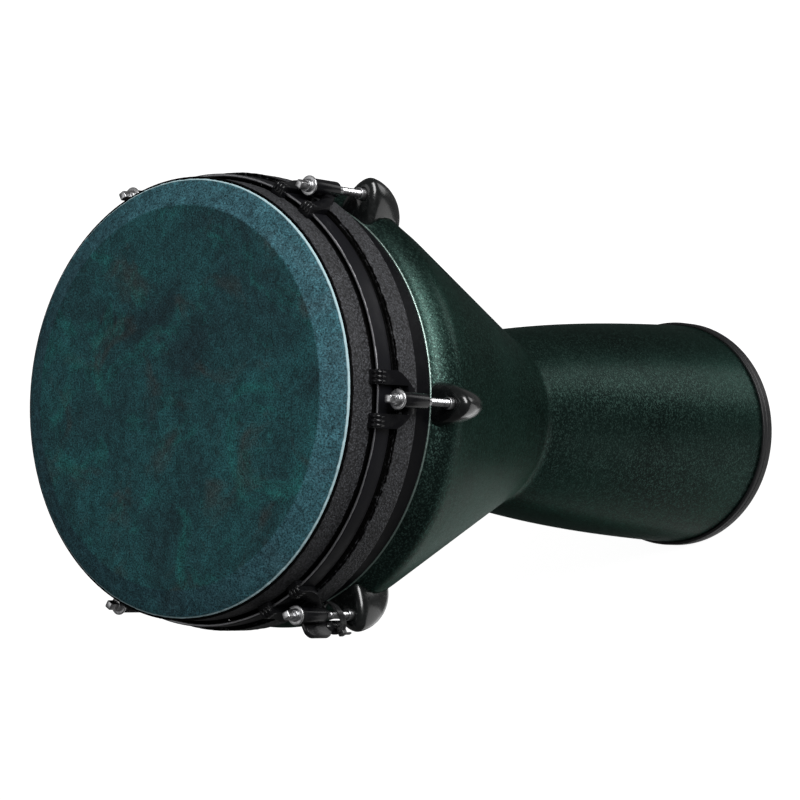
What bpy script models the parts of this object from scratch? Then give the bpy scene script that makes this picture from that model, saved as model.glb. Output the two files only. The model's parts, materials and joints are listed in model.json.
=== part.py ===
"""Key-tuned djembe: goblet shell, film head, counterhoop with claws and rods, teardrop lugs.

The drum stands on its foot ring. The origin is at the bottom centre of that ring and +Z is the drum's
axis, head up. Lengths below are in millimetres and become metres where a mesh is made. "Drop" is the
distance down from the edge of the film head.
"""
import math

import bmesh
import bpy
from mathutils import Matrix, Vector

MM = 0.001
GAP = 0.3                      # clearance between pieces that touch
SEGMENTS = 48                  # facets round the drum
SMOOTH_ANGLE = math.radians(40)

# Whole drum
HEIGHT = 610.0                 # foot to the flat of the head, 24 inches
HEAD_RADIUS = 152.4            # edge of the film, 12 inches across
BEVEL_RISE = 8.6               # the flat of the head stands this far above the film's edge
FLAT_RADIUS = 132.5            # where the flat turns down into the bevelled margin
EDGE_Z = HEIGHT - BEVEL_RISE

# Shell, as drops and outer radii
WALL = 6.0
NECK_RADIUS = 147.0            # hidden neck that carries the bearing ring
NECK_TOP_DROP = 40.0
LIP_DROP = 86.0                # visible upper edge of the shell
LIP_RADIUS = 151.4
SHOULDER_DROP = 113.0          # end of the rounded shoulder, start of the upper band
SHOULDER_BULGE = 2.4           # how far the shoulder swells past a plain arc
SHOULDER_POWER = 0.8
SHOULDER_STEPS = 4
BREAK_DROP = 140.0             # faint crease where the upper band meets the cone
BREAK_RADIUS = 146.9
BAND_SLOPE = 0.374             # radius gained per unit of height on the upper band
WAIST_DROP = 329.4
WAIST_RADIUS = 67.7
CONE_SLOPE = (BREAK_RADIUS - WAIST_RADIUS) / (WAIST_DROP - BREAK_DROP)
WAIST_BLEND = 16.0             # height over which the cone turns into the pipe
WAIST_FILLET = (2.0, 1.6)      # the last point above the waist: how far up, how far out
PIPE_START = 8.0               # below the waist the pipe's own curve starts here
LIP_LEDGE = 2.0                # height of the ledge behind the lip
LIP_ROUND = 0.8
PIPE_END_RADIUS = 91.4
PIPE_BULGE = 4.3               # outward belly of the pipe
PIPE_SKEW = 1.0                # moves the belly towards the waist
PIPE_STEPS = 7
SHELL_END_Z = 5.0

# Foot ring
FOOT_HEIGHT = 12.6
FOOT_RADIUS = 93.4
FOOT_INNER_RADIUS = 82.5
FOOT_ROUND = 1.2

# Bearing ring, the black rim that the head is drawn over
BEARING_RADIUS = 151.0
BEARING_CREST_RADIUS = 131.6
BEARING_INNER_RADIUS = 127.5
BEARING_DEPTH = 16.0           # height of the ring's inner wall

# Head and its hoops, as drops and radii
FILM = 0.6
COLLAR_INNER_RADIUS = 151.35
COLLAR_RADIUS = 152.7
COLLAR_END_DROP = 46.0
FLESH_INNER_RADIUS = 153.1
FLESH_RADIUS = 160.2
FLESH_DROPS = (37.8, 59.5)
FLESH_STEP_DROP = 36.4
HOOP_RADII = (155.0, 157.4)
HOOP_DROPS = (22.0, 36.0)

# Tuning stations
STATIONS = 6
FIRST_AZIMUTH = -90.0
ROD_CIRCLE = 168.2             # distance of each rod from the drum's axis

# Claws
CLAW_HALF_WIDTH = 19.5
CLAW_WINDOW_HALF_WIDTH = 9.6
CLAW_WINDOW_DROP = 43.5
CLAW_TOP_DROP = 17.8
CLAW_THICKNESS = 3.2
CLAW_END_DROP = 50.0
CLAW_HOOK_DEPTH = 6.0          # how far each hook reaches down behind the hoop
CLAW_BACK_RADIUS = 150.0       # the blank the claw is cut from starts here
CLAW_YOKE_RISE = (3.2, 4.6)    # how far the yoke leans out over the flesh hoop
CLAW_YOKE_DROPS = (30.0, 37.0, 43.0)
CLAW_BLANK_DEPTH = 40.0
CLAW_PLAN = ((20.5, 10.0), (20.5, 33.0), (17.5, 38.0), (13.5, 43.0), (9.0, 48.0), (7.0, 55.0))
SLEEVE_RADIUS = 5.5
SLEEVE_BORE = 3.3
SLEEVE_DROPS = (30.2, 56.4)

# Tension rods
ROD_RADIUS = 2.9
ROD_FLANGE_RADIUS = 7.0
ROD_FLANGE = 1.6
ROD_NECK_RADIUS = 4.4
ROD_NECK = 2.8
ROD_SQUARE = 6.2
ROD_SQUARE_LENGTH = 8.6
ROD_TIP_DROP = 104.0

# Lug casings, half bullets on the shoulder of the shell
LUG_CENTRE_DROP = 88.0
LUG_CENTRE_RADIUS = 140.0
LUG_SEMI_AXES = (41.0, 16.4, 47.0)   # out from the drum, across, along the drum
LUG_FRONT_DROP = 84.6
LUG_FRONT_ROUND = 3.5
LUG_TIP_ROOM = 9.0             # free bore below the rod's tip
LUG_POCKET_REACH = 24.0        # the nut's pocket opens this far in towards the drum
NUT_NECK_RADIUS = 4.3
NUT_RADIUS = 5.0
NUT_DROPS = (80.4, 88.4, 97.6)
SCREW_DROPS = (114.0, 126.0)
SCREW_RADIUS = 2.0
SCREW_HOLE_RADIUS = 2.4
SCREW_GRIP = 6.6
SCREW_HEAD_RADIUS = 4.0
SCREW_HEAD = 2.6
PLATE_SIZE = (1.8, 11.0, 22.0)
PLATE_STANDOFF = 0.8           # the wall curves away from the flat plate

# Tuning key and the tie that holds it on the last station's rod
KEY_STATION = 5
KEY_OFFSET = (5.4, -7.9)       # out from the rod and across
KEY_PADDLE = (16.0, 4.0, 26.0)
KEY_PADDLE_DROP = 42.0
KEY_STEM_RADIUS = 4.6
KEY_END_DROP = 81.0
KEY_SOCKET = 6.5
KEY_SOCKET_DEPTH = 12.0
TIE_DROP = 71.5
TIE_WIDTH = 2.6
TIE_THICKNESS = 1.3
TIE_LOCK = (4.4, 4.6, 4.2)

MATERIALS = {
    "shell_green": ((0.035, 0.085, 0.070), 0.22, 0.55),
    "rim_black": ((0.012, 0.012, 0.013), 0.35, 0.0),
    "head_film": ((0.110, 0.250, 0.250), 0.45, 0.0),
    "collar_black": ((0.060, 0.060, 0.064), 0.75, 0.0),
    "hoop_black": ((0.035, 0.035, 0.037), 0.38, 0.3),
    "claw_black": ((0.030, 0.030, 0.032), 0.35, 0.3),
    "rod_steel": ((0.720, 0.720, 0.730), 0.18, 1.0),
    "lug_black": ((0.018, 0.018, 0.020), 0.12, 0.1),
    "nut_steel": ((0.560, 0.560, 0.570), 0.30, 1.0),
    "foot_rubber": ((0.020, 0.020, 0.020), 0.60, 0.0),
    "key_black": ((0.015, 0.015, 0.016), 0.30, 0.3),
    "tie_nylon": ((0.022, 0.022, 0.024), 0.45, 0.0),
}


def drop_to_z(drop):
    """Height above the foot of a point that lies this far below the film's edge."""
    return EDGE_Z - drop


def clear_scene():
    """Remove every object, so the script gives the same drum each time."""
    for thing in list(bpy.data.objects):
        bpy.data.objects.remove(thing, do_unlink=True)


def make_collection(name):
    """Return a new collection linked to the scene."""
    collection = bpy.data.collections.new(name)
    bpy.context.scene.collection.children.link(collection)
    return collection


def make_materials():
    """Return one Principled material for each finish."""
    made = {}
    for name, (colour, roughness, metallic) in MATERIALS.items():
        material = bpy.data.materials.new(name)
        material.use_nodes = True
        shader = material.node_tree.nodes["Principled BSDF"]
        shader.inputs["Base Color"].default_value = (*colour, 1.0)
        shader.inputs["Roughness"].default_value = roughness
        shader.inputs["Metallic"].default_value = metallic
        material.diffuse_color = (*colour, 1.0)
        made[name] = material
    return made


def add_object(name, mesh, collection):
    """Return a new object with this mesh in this collection."""
    thing = bpy.data.objects.new(name, mesh)
    collection.objects.link(thing)
    return thing


def turned(name, outline, collection, closed=True):
    """Turn an outline of (radius, height) round Z; it runs down the outer side first."""
    mesh = bpy.data.meshes.new(name)
    points = [(radius * MM, 0.0, height * MM) for radius, height in outline]
    edges = [(i, i + 1) for i in range(len(points) - 1)]
    if closed:
        edges.append((len(points) - 1, 0))
    mesh.from_pydata(points, edges, [])
    thing = add_object(name, mesh, collection)
    screw = thing.modifiers.new("turn", "SCREW")
    screw.axis = "Z"
    screw.steps = SEGMENTS
    screw.render_steps = SEGMENTS
    screw.use_merge_vertices = True
    screw.merge_threshold = 0.00001
    return thing


def cylinder(name, radius, low, high, collection, sides=16):
    """A cylinder along Z between two heights, centred on the axis."""
    mesh = bpy.data.meshes.new(name)
    shape = bmesh.new()
    bmesh.ops.create_cone(shape, cap_ends=True, segments=sides, radius1=radius * MM, radius2=radius * MM,
                          depth=(high - low) * MM)
    bmesh.ops.translate(shape, verts=shape.verts, vec=(0.0, 0.0, (low + high) / 2.0 * MM))
    shape.to_mesh(mesh)
    shape.free()
    return add_object(name, mesh, collection)


def box(name, size, centre, collection):
    """A box of this size about this centre."""
    mesh = bpy.data.meshes.new(name)
    shape = bmesh.new()
    bmesh.ops.create_cube(shape, size=1.0)
    bmesh.ops.scale(shape, verts=shape.verts, vec=[length * MM for length in size])
    bmesh.ops.translate(shape, verts=shape.verts, vec=[along * MM for along in centre])
    shape.to_mesh(mesh)
    shape.free()
    return add_object(name, mesh, collection)


def plate(name, outlines, thickness, turn, collection):
    """A flat outline given thickness about its own plane, then turned by a matrix.

    Outlines after the first are holes.
    """
    curve = bpy.data.curves.new(name, "CURVE")
    curve.dimensions = "2D"
    curve.fill_mode = "BOTH"
    curve.extrude = thickness / 2.0 * MM
    for outline in outlines:
        spline = curve.splines.new("POLY")
        spline.points.add(len(outline) - 1)
        spline.use_cyclic_u = True
        for point, (across, up) in zip(spline.points, outline):
            point.co = (across * MM, up * MM, 0.0, 1.0)
    flat = add_object(name + "_curve", curve, collection)
    bpy.context.view_layer.update()
    graph = bpy.context.evaluated_depsgraph_get()
    mesh = bpy.data.meshes.new_from_object(flat.evaluated_get(graph))
    bpy.data.objects.remove(flat, do_unlink=True)
    shape = bmesh.new()
    shape.from_mesh(mesh)
    bmesh.ops.remove_doubles(shape, verts=shape.verts, dist=0.000001)
    bmesh.ops.transform(shape, matrix=turn, verts=shape.verts)
    bmesh.ops.recalc_face_normals(shape, faces=shape.faces)
    shape.to_mesh(mesh)
    shape.free()
    return add_object(name, mesh, collection)


def place(thing, matrix):
    """Move a piece's mesh by a matrix, keeping the object's origin where it is."""
    thing.data.transform(matrix)


def combine(target, tool, operation):
    """Join, cut or intersect a piece with a tool, which is kept as a guide."""
    change = target.modifiers.new(operation.lower(), "BOOLEAN")
    change.operation = operation
    change.solver = "EXACT"
    change.object = tool
    tool.hide_render = True
    tool.display_type = "WIRE"


def freeze(thing):
    """Turn a piece's modifiers into plain mesh and shade it smooth between sharp edges."""
    bpy.context.view_layer.update()
    graph = bpy.context.evaluated_depsgraph_get()
    mesh = bpy.data.meshes.new_from_object(thing.evaluated_get(graph))
    thing.modifiers.clear()
    thing.data = mesh
    mesh.shade_smooth()
    mesh.set_sharp_from_angle(angle=SMOOTH_ANGLE)
    return thing


def dress(thing, material):
    """Give a piece its one material."""
    thing.data.materials.clear()
    thing.data.materials.append(material)


def cone_radius(drop):
    """Outer radius of the straight cone between the crease and the waist."""
    return WAIST_RADIUS + (WAIST_DROP - drop) * CONE_SLOPE


def band_radius(drop):
    """Outer radius of the upper band, between the shoulder and the crease."""
    return BREAK_RADIUS + (BREAK_DROP - drop) * BAND_SLOPE


def pipe_radius(drop):
    """Outer radius of the pipe, which bellies out a little on its way to the foot."""
    along = (drop - WAIST_DROP) / (EDGE_Z - WAIST_DROP)
    arch = 4.0 * along * (1.0 - along)
    return (WAIST_RADIUS + (PIPE_END_RADIUS - WAIST_RADIUS) * along
            + PIPE_BULGE * arch + PIPE_SKEW * arch * (1.0 - 2.0 * along))


def shoulder_points(inset):
    """Rounded shoulder between the shell's lip and the straight cone, as (radius, drop)."""
    growth = band_radius(SHOULDER_DROP) - LIP_RADIUS
    points = []
    for step in range(1, SHOULDER_STEPS):
        part = step / SHOULDER_STEPS
        drop = LIP_DROP + (SHOULDER_DROP - LIP_DROP) * part
        rise = math.sin(part * math.pi / 2.0) ** SHOULDER_POWER
        bulge = SHOULDER_BULGE * math.sin(part * math.pi)
        points.append((LIP_RADIUS + growth * rise + bulge - inset, drop))
    return points


def shell_side(inset):
    """Bowl, waist and pipe from the shoulder down, as (radius, height); inset moves it inwards."""
    side = shoulder_points(inset) + [(band_radius(SHOULDER_DROP) - inset, SHOULDER_DROP)]
    side.append((BREAK_RADIUS - inset, BREAK_DROP))
    blend_top = WAIST_DROP - WAIST_BLEND
    side.append((cone_radius(blend_top) - inset, blend_top))
    fillet_up, fillet_out = WAIST_FILLET
    side.append((WAIST_RADIUS + fillet_out - inset, WAIST_DROP - fillet_up))
    pipe_length = EDGE_Z - SHELL_END_Z - WAIST_DROP - PIPE_START
    for step in range(PIPE_STEPS + 1):
        drop = WAIST_DROP + PIPE_START + pipe_length * step / PIPE_STEPS
        side.append((pipe_radius(drop) - inset, drop))
    return [(radius, drop_to_z(drop)) for radius, drop in side]


def shell_outline():
    """The whole closed outline of the shell's wall."""
    neck_bottom = drop_to_z(LIP_DROP - LIP_LEDGE)
    outer = [(NECK_RADIUS, drop_to_z(NECK_TOP_DROP)), (NECK_RADIUS, neck_bottom),
             (LIP_RADIUS - LIP_ROUND, neck_bottom), (LIP_RADIUS, neck_bottom - LIP_ROUND)]
    outer += shell_side(0.0)
    inner = shell_side(WALL)
    inner.reverse()
    inner += [(NECK_RADIUS - WALL, drop_to_z(LIP_DROP)), (NECK_RADIUS - WALL, drop_to_z(NECK_TOP_DROP))]
    return outer + inner


def station_azimuth(index):
    """Direction of a tuning station round the drum, in radians."""
    return math.radians(FIRST_AZIMUTH + 360.0 / STATIONS * index)


def station_turn(index):
    """Rotation that brings a piece made at +X to its station."""
    return Matrix.Rotation(station_azimuth(index), 4, "Z")


def screw_matrix(drop):
    """Frame on the upper band at +X: its Z points straight out of the shell's surface."""
    outward = Vector((1.0, 0.0, -BAND_SLOPE)).normalized()
    on_band = Vector((band_radius(drop), 0.0, drop_to_z(drop))) * MM
    return Matrix.Translation(on_band) @ outward.to_track_quat("Z", "Y").to_matrix().to_4x4()


def build_shell(parts, cutters):
    """Goblet shell with the screw holes for the lugs."""
    shell = turned("shell", shell_outline(), parts)
    drills = bmesh.new()
    for index in range(STATIONS):
        for drop in SCREW_DROPS:
            where = station_turn(index) @ screw_matrix(drop)
            bmesh.ops.create_cone(drills, cap_ends=True, segments=8, radius1=SCREW_HOLE_RADIUS * MM,
                                  radius2=SCREW_HOLE_RADIUS * MM, depth=3.0 * WALL * MM, matrix=where)
    mesh = bpy.data.meshes.new("screw_drills")
    drills.to_mesh(mesh)
    drills.free()
    combine(shell, add_object("screw_drills", mesh, cutters), "DIFFERENCE")
    return freeze(shell)


def build_foot_ring(parts):
    """Rubber ring that wraps the end of the pipe."""
    seat = SHELL_END_Z - GAP
    groove = pipe_radius(EDGE_Z - FOOT_HEIGHT) + 2.0 * GAP
    outline = [(groove, FOOT_HEIGHT), (FOOT_RADIUS - FOOT_ROUND, FOOT_HEIGHT),
               (FOOT_RADIUS, FOOT_HEIGHT - FOOT_ROUND), (FOOT_RADIUS, FOOT_ROUND),
               (FOOT_RADIUS - FOOT_ROUND, 0.0), (FOOT_INNER_RADIUS, 0.0), (FOOT_INNER_RADIUS, seat),
               (groove, seat)]
    return freeze(turned("foot_ring", outline, parts))


def build_bearing_ring(parts):
    """Black rim: bevelled bearing edge on top, smooth band down to the green shell."""
    neck = NECK_RADIUS + GAP
    rest = drop_to_z(NECK_TOP_DROP) + GAP
    top = EDGE_Z + BEVEL_RISE - FILM - GAP
    bottom = drop_to_z(LIP_DROP - LIP_LEDGE) + GAP
    outline = [(BEARING_CREST_RADIUS, top), (BEARING_RADIUS, EDGE_Z - FILM - 2.0 * GAP),
               (BEARING_RADIUS, bottom), (neck, bottom), (neck, rest), (NECK_RADIUS - WALL, rest),
               (BEARING_INNER_RADIUS, top - BEARING_DEPTH), (BEARING_INNER_RADIUS, top - 2.0)]
    return freeze(turned("bearing_ring", outline, parts))


def build_head(parts):
    """Film head, its collar and the flesh hoop."""
    flat_z = EDGE_Z + BEVEL_RISE
    film_outline = [(0.0, flat_z), (FLAT_RADIUS, flat_z), (HEAD_RADIUS, EDGE_Z),
                    (HEAD_RADIUS, EDGE_Z - FILM / 2.0), (BEARING_RADIUS, EDGE_Z - FILM),
                    (FLAT_RADIUS - FILM / 2.0, flat_z - FILM), (0.0, flat_z - FILM)]
    film = turned("head_film", film_outline, parts, closed=False)
    collar_top = EDGE_Z - FILM - GAP
    collar = turned("head_collar", [(COLLAR_RADIUS, collar_top), (COLLAR_RADIUS, drop_to_z(COLLAR_END_DROP)),
                                    (COLLAR_INNER_RADIUS, drop_to_z(COLLAR_END_DROP)),
                                    (COLLAR_INNER_RADIUS, collar_top)], parts)
    top, bottom = drop_to_z(FLESH_DROPS[0]), drop_to_z(FLESH_DROPS[1])
    step_radius = HOOP_RADII[1]
    flesh = turned("flesh_hoop", [(step_radius, top), (FLESH_RADIUS - 1.0, top), (FLESH_RADIUS, top - 1.0),
                                  (FLESH_RADIUS, bottom + 1.0), (FLESH_RADIUS - 1.0, bottom),
                                  (FLESH_INNER_RADIUS, bottom),
                                  (FLESH_INNER_RADIUS, drop_to_z(FLESH_STEP_DROP)),
                                  (step_radius, drop_to_z(FLESH_STEP_DROP))], parts)
    return [freeze(piece) for piece in (film, collar, flesh)]


def build_counterhoop(parts):
    """Flat steel ring that the claws pull down."""
    inner, outer = HOOP_RADII
    top, bottom = drop_to_z(HOOP_DROPS[0]), drop_to_z(HOOP_DROPS[1])
    outline = [(outer - 0.6, top), (outer, top - 0.6), (outer, bottom), (inner, bottom), (inner, top - 0.6),
               (inner + 0.6, top)]
    return freeze(turned("counterhoop", outline, parts))


def head_envelope(cutters):
    """Space that the head, counterhoop and flesh hoop take, which the claws stay out of."""
    inner, outer = HOOP_RADII
    above = drop_to_z(-20.0)
    below = drop_to_z(80.0)
    lip = COLLAR_RADIUS + 2.0 * GAP
    lip_end = drop_to_z(HOOP_DROPS[0] + CLAW_HOOK_DEPTH)
    ledge = drop_to_z(FLESH_DROPS[0] - 2.0 * GAP)
    hoop_top = drop_to_z(HOOP_DROPS[0] - GAP)
    outline = [(0.0, above), (lip, above), (lip, lip_end), (inner - GAP, lip_end), (inner - GAP, hoop_top),
               (outer + GAP, hoop_top), (outer + GAP, ledge), (FLESH_RADIUS + GAP, ledge),
               (FLESH_RADIUS + GAP, below), (0.0, below)]
    return turned("head_envelope", outline, cutters, closed=False)


def claw_mesh(parts, cutters):
    """One claw at +X: two hooks over the hoop, a yoke and the sleeve for the rod."""
    outer = HOOP_RADII[1] + GAP + CLAW_THICKNESS
    top = drop_to_z(CLAW_TOP_DROP)
    end = drop_to_z(CLAW_END_DROP)
    first_rise, full_rise = CLAW_YOKE_RISE
    face_end, lean_middle, lean_end = (drop_to_z(drop) for drop in CLAW_YOKE_DROPS)
    side = [(CLAW_BACK_RADIUS, top), (outer - 2.4, top), (outer - 0.6, top - 1.0), (outer, top - 3.0),
            (outer, face_end), (outer + first_rise, lean_middle), (outer + full_rise, lean_end),
            (outer + full_rise, end), (CLAW_BACK_RADIUS, end)]
    upright = Matrix(((1, 0, 0, 0), (0, 0, -1, 0), (0, 1, 0, 0), (0, 0, 0, 1)))
    claw = plate("claw", [side], 2.0 * CLAW_HALF_WIDTH, upright, parts)
    plan = [(across, drop_to_z(drop)) for across, drop in CLAW_PLAN]
    plan += [(-across, height) for across, height in reversed(plan)]
    facing = Matrix(((0, 0, 1, outer * MM), (1, 0, 0, 0), (0, 1, 0, 0), (0, 0, 0, 1)))
    combine(claw, plate("claw_plan", [plan], CLAW_BLANK_DEPTH, facing, cutters), "INTERSECT")
    window_height = CLAW_WINDOW_DROP - 5.0
    window = box("claw_window", (CLAW_BLANK_DEPTH, 2.0 * CLAW_WINDOW_HALF_WIDTH, window_height),
                 (outer, 0.0, drop_to_z(CLAW_WINDOW_DROP) + window_height / 2.0), cutters)
    combine(claw, window, "DIFFERENCE")
    combine(claw, head_envelope(cutters), "DIFFERENCE")
    freeze(claw)
    low, high = drop_to_z(SLEEVE_DROPS[1]), drop_to_z(SLEEVE_DROPS[0])
    sleeve = cylinder("claw_sleeve", SLEEVE_RADIUS, low, high, cutters)
    bore = cylinder("claw_bore", SLEEVE_BORE, low - 5.0, high + 5.0, cutters, sides=12)
    for tool in (sleeve, bore):
        place(tool, Matrix.Translation((ROD_CIRCLE * MM, 0.0, 0.0)))
    combine(claw, sleeve, "UNION")
    combine(claw, bore, "DIFFERENCE")
    return freeze(claw)


def rod_mesh(parts, cutters):
    """One tension rod about its own axis, with heights above the foot."""
    seat = drop_to_z(SLEEVE_DROPS[0]) + GAP
    flange_top = seat + ROD_FLANGE
    neck_top = flange_top + ROD_NECK
    tip = drop_to_z(ROD_TIP_DROP)
    outline = [(0.0, neck_top), (ROD_NECK_RADIUS - 0.8, neck_top), (ROD_NECK_RADIUS, flange_top),
               (ROD_FLANGE_RADIUS, flange_top), (ROD_FLANGE_RADIUS, seat), (ROD_RADIUS, seat),
               (ROD_RADIUS, tip + 1.5), (ROD_RADIUS - 1.0, tip), (0.0, tip)]
    rod = turned("rod", outline, parts, closed=False)
    rod.modifiers["turn"].steps = 14
    rod.modifiers["turn"].render_steps = 14
    low, high = neck_top - 1.5, neck_top + ROD_SQUARE_LENGTH
    square = box("rod_square", (ROD_SQUARE, ROD_SQUARE, high - low), (0.0, 0.0, (low + high) / 2.0), cutters)
    combine(rod, square, "UNION")
    return freeze(rod)


def lug_base_envelope(cutters):
    """The shell's outside with clearance, which each lug's base is cut to."""
    clear = BEARING_RADIUS + 2.0 * GAP
    side = [(clear, drop_to_z(60.0)), (clear, drop_to_z(LIP_DROP - 1.6)),
            (LIP_RADIUS + GAP, drop_to_z(LIP_DROP - 1.2))]
    side += [(radius + GAP, height) for radius, height in shell_side(0.0)[:5]]
    outline = [(0.0, side[0][1])] + side + [(0.0, side[-1][1])]
    return turned("lug_base_envelope", outline, cutters, closed=False)


def lug_mesh(parts, cutters):
    """One teardrop lug casing at +X, hollow for its swivel nut and drilled for the rod and screws."""
    mesh = bpy.data.meshes.new("lug")
    shape = bmesh.new()
    bmesh.ops.create_uvsphere(shape, u_segments=20, v_segments=14, radius=MM)
    bmesh.ops.scale(shape, verts=shape.verts, vec=LUG_SEMI_AXES)
    centre = Vector((LUG_CENTRE_RADIUS, 0.0, drop_to_z(LUG_CENTRE_DROP))) * MM
    bmesh.ops.translate(shape, verts=shape.verts, vec=centre)
    front = Vector((0.0, 0.0, drop_to_z(LUG_FRONT_DROP) * MM))
    bmesh.ops.bisect_plane(shape, geom=shape.verts[:] + shape.edges[:] + shape.faces[:], plane_co=front,
                           plane_no=(0.0, 0.0, 1.0), clear_outer=True)
    bmesh.ops.holes_fill(shape, edges=shape.edges)
    shape.to_mesh(mesh)
    shape.free()
    lug = add_object("lug", mesh, parts)
    soften = lug.modifiers.new("front_round", "BEVEL")
    soften.width = LUG_FRONT_ROUND * MM
    soften.segments = 2
    soften.limit_method = "ANGLE"
    soften.angle_limit = math.radians(50)
    combine(lug, lug_base_envelope(cutters), "DIFFERENCE")
    along = Matrix.Translation((ROD_CIRCLE * MM, 0.0, 0.0))
    nut_end = NUT_DROPS[2] + GAP
    mouth = cylinder("lug_mouth", NUT_NECK_RADIUS + GAP, drop_to_z(NUT_DROPS[1] + 1.0), drop_to_z(70.0),
                     cutters, 12)
    bore = cylinder("lug_bore", ROD_RADIUS + 2.0 * GAP, drop_to_z(ROD_TIP_DROP + LUG_TIP_ROOM),
                    drop_to_z(90.0), cutters, 10)
    for tool in (mouth, bore):
        place(tool, along)
        combine(lug, tool, "DIFFERENCE")
    pocket_height = nut_end - NUT_DROPS[1] + GAP
    pocket_size = (2.0 * NUT_RADIUS + LUG_POCKET_REACH, 2.0 * (NUT_RADIUS + GAP), pocket_height)
    pocket_middle = drop_to_z(nut_end) + pocket_height / 2.0
    pocket = box("lug_pocket", pocket_size, (ROD_CIRCLE + GAP - LUG_POCKET_REACH / 2.0, 0.0, pocket_middle),
                 cutters)
    combine(lug, pocket, "DIFFERENCE")
    for index, drop in enumerate(SCREW_DROPS):
        hole = cylinder("lug_tapping_%d" % (index + 1), SCREW_HOLE_RADIUS, -3.0, SCREW_GRIP + 1.0, cutters,
                        sides=8)
        place(hole, screw_matrix(drop))
        combine(lug, hole, "DIFFERENCE")
    return freeze(lug)


def nut_mesh(parts):
    """Swivel nut about its own axis: a round body in the lug and a neck that shows in front."""
    top, shelf, bottom = (drop_to_z(drop) for drop in NUT_DROPS)
    bore = ROD_RADIUS + GAP
    outline = [(NUT_NECK_RADIUS, top), (NUT_NECK_RADIUS, shelf), (NUT_RADIUS, shelf), (NUT_RADIUS, bottom),
               (bore, bottom), (bore, top)]
    nut = turned("nut", outline, parts)
    nut.modifiers["turn"].steps = 12
    nut.modifiers["turn"].render_steps = 12
    return freeze(nut)


def screw_mesh(parts):
    """Pan head screw along its own Z, whose zero is the shell's outer surface."""
    under_head = -(WALL + PLATE_STANDOFF + PLATE_SIZE[0] + GAP)
    outline = [(0.0, SCREW_GRIP), (SCREW_RADIUS - 0.6, SCREW_GRIP), (SCREW_RADIUS, SCREW_GRIP - 1.0),
               (SCREW_RADIUS, under_head), (SCREW_HEAD_RADIUS, under_head),
               (SCREW_HEAD_RADIUS, under_head - SCREW_HEAD * 0.5),
               (SCREW_HEAD_RADIUS - 1.2, under_head - SCREW_HEAD), (0.0, under_head - SCREW_HEAD)]
    screw = turned("screw", outline, parts, closed=False)
    screw.modifiers["turn"].steps = 8
    screw.modifiers["turn"].render_steps = 8
    return freeze(screw)


def plate_mesh(parts, cutters):
    """Flat washer plate that spreads a lug's two screws inside the shell."""
    middle = screw_matrix(sum(SCREW_DROPS) / 2.0)
    depth = -(WALL + PLATE_STANDOFF + PLATE_SIZE[0] / 2.0)
    washer = box("washer", PLATE_SIZE, (0.0, 0.0, 0.0), parts)
    stand = Matrix.Rotation(math.radians(90.0), 4, "Y")
    place(washer, middle @ Matrix.Translation((0.0, 0.0, depth * MM)) @ stand)
    for index, drop in enumerate(SCREW_DROPS):
        hole = cylinder("washer_hole_%d" % (index + 1), SCREW_HOLE_RADIUS, -3.0 * WALL, 0.0, cutters, 8)
        place(hole, screw_matrix(drop))
        combine(washer, hole, "DIFFERENCE")
    return freeze(washer)


def repeat_at_stations(name, pattern, parts, on_rod=False):
    """Copy a piece made at +X, or about a rod's axis, to every station and drop the pattern."""
    copies = []
    for index in range(STATIONS):
        copy = add_object("%s_%d" % (name, index + 1), pattern.data, parts)
        copy.matrix_world = station_turn(index)
        if on_rod:
            copy.matrix_world = station_turn(index) @ Matrix.Translation((ROD_CIRCLE * MM, 0.0, 0.0))
        copies.append(copy)
    bpy.data.objects.remove(pattern, do_unlink=True)
    return copies


def belt_outline(first, first_radius, second, second_radius, points_each=10):
    """Closed outline of a belt drawn tight round two circles, anticlockwise."""
    first, second = Vector(first), Vector(second)
    span = second - first
    heading = math.atan2(span.y, span.x)
    spread = math.acos((first_radius - second_radius) / span.length)
    outline = []
    for centre, radius, start, sweep in (
            (second, second_radius, heading - spread, 2.0 * spread),
            (first, first_radius, heading + spread, 2.0 * (math.pi - spread))):
        for step in range(points_each + 1):
            angle = start + sweep * step / points_each
            outline.append((centre.x + radius * math.cos(angle), centre.y + radius * math.sin(angle)))
    return outline


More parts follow.
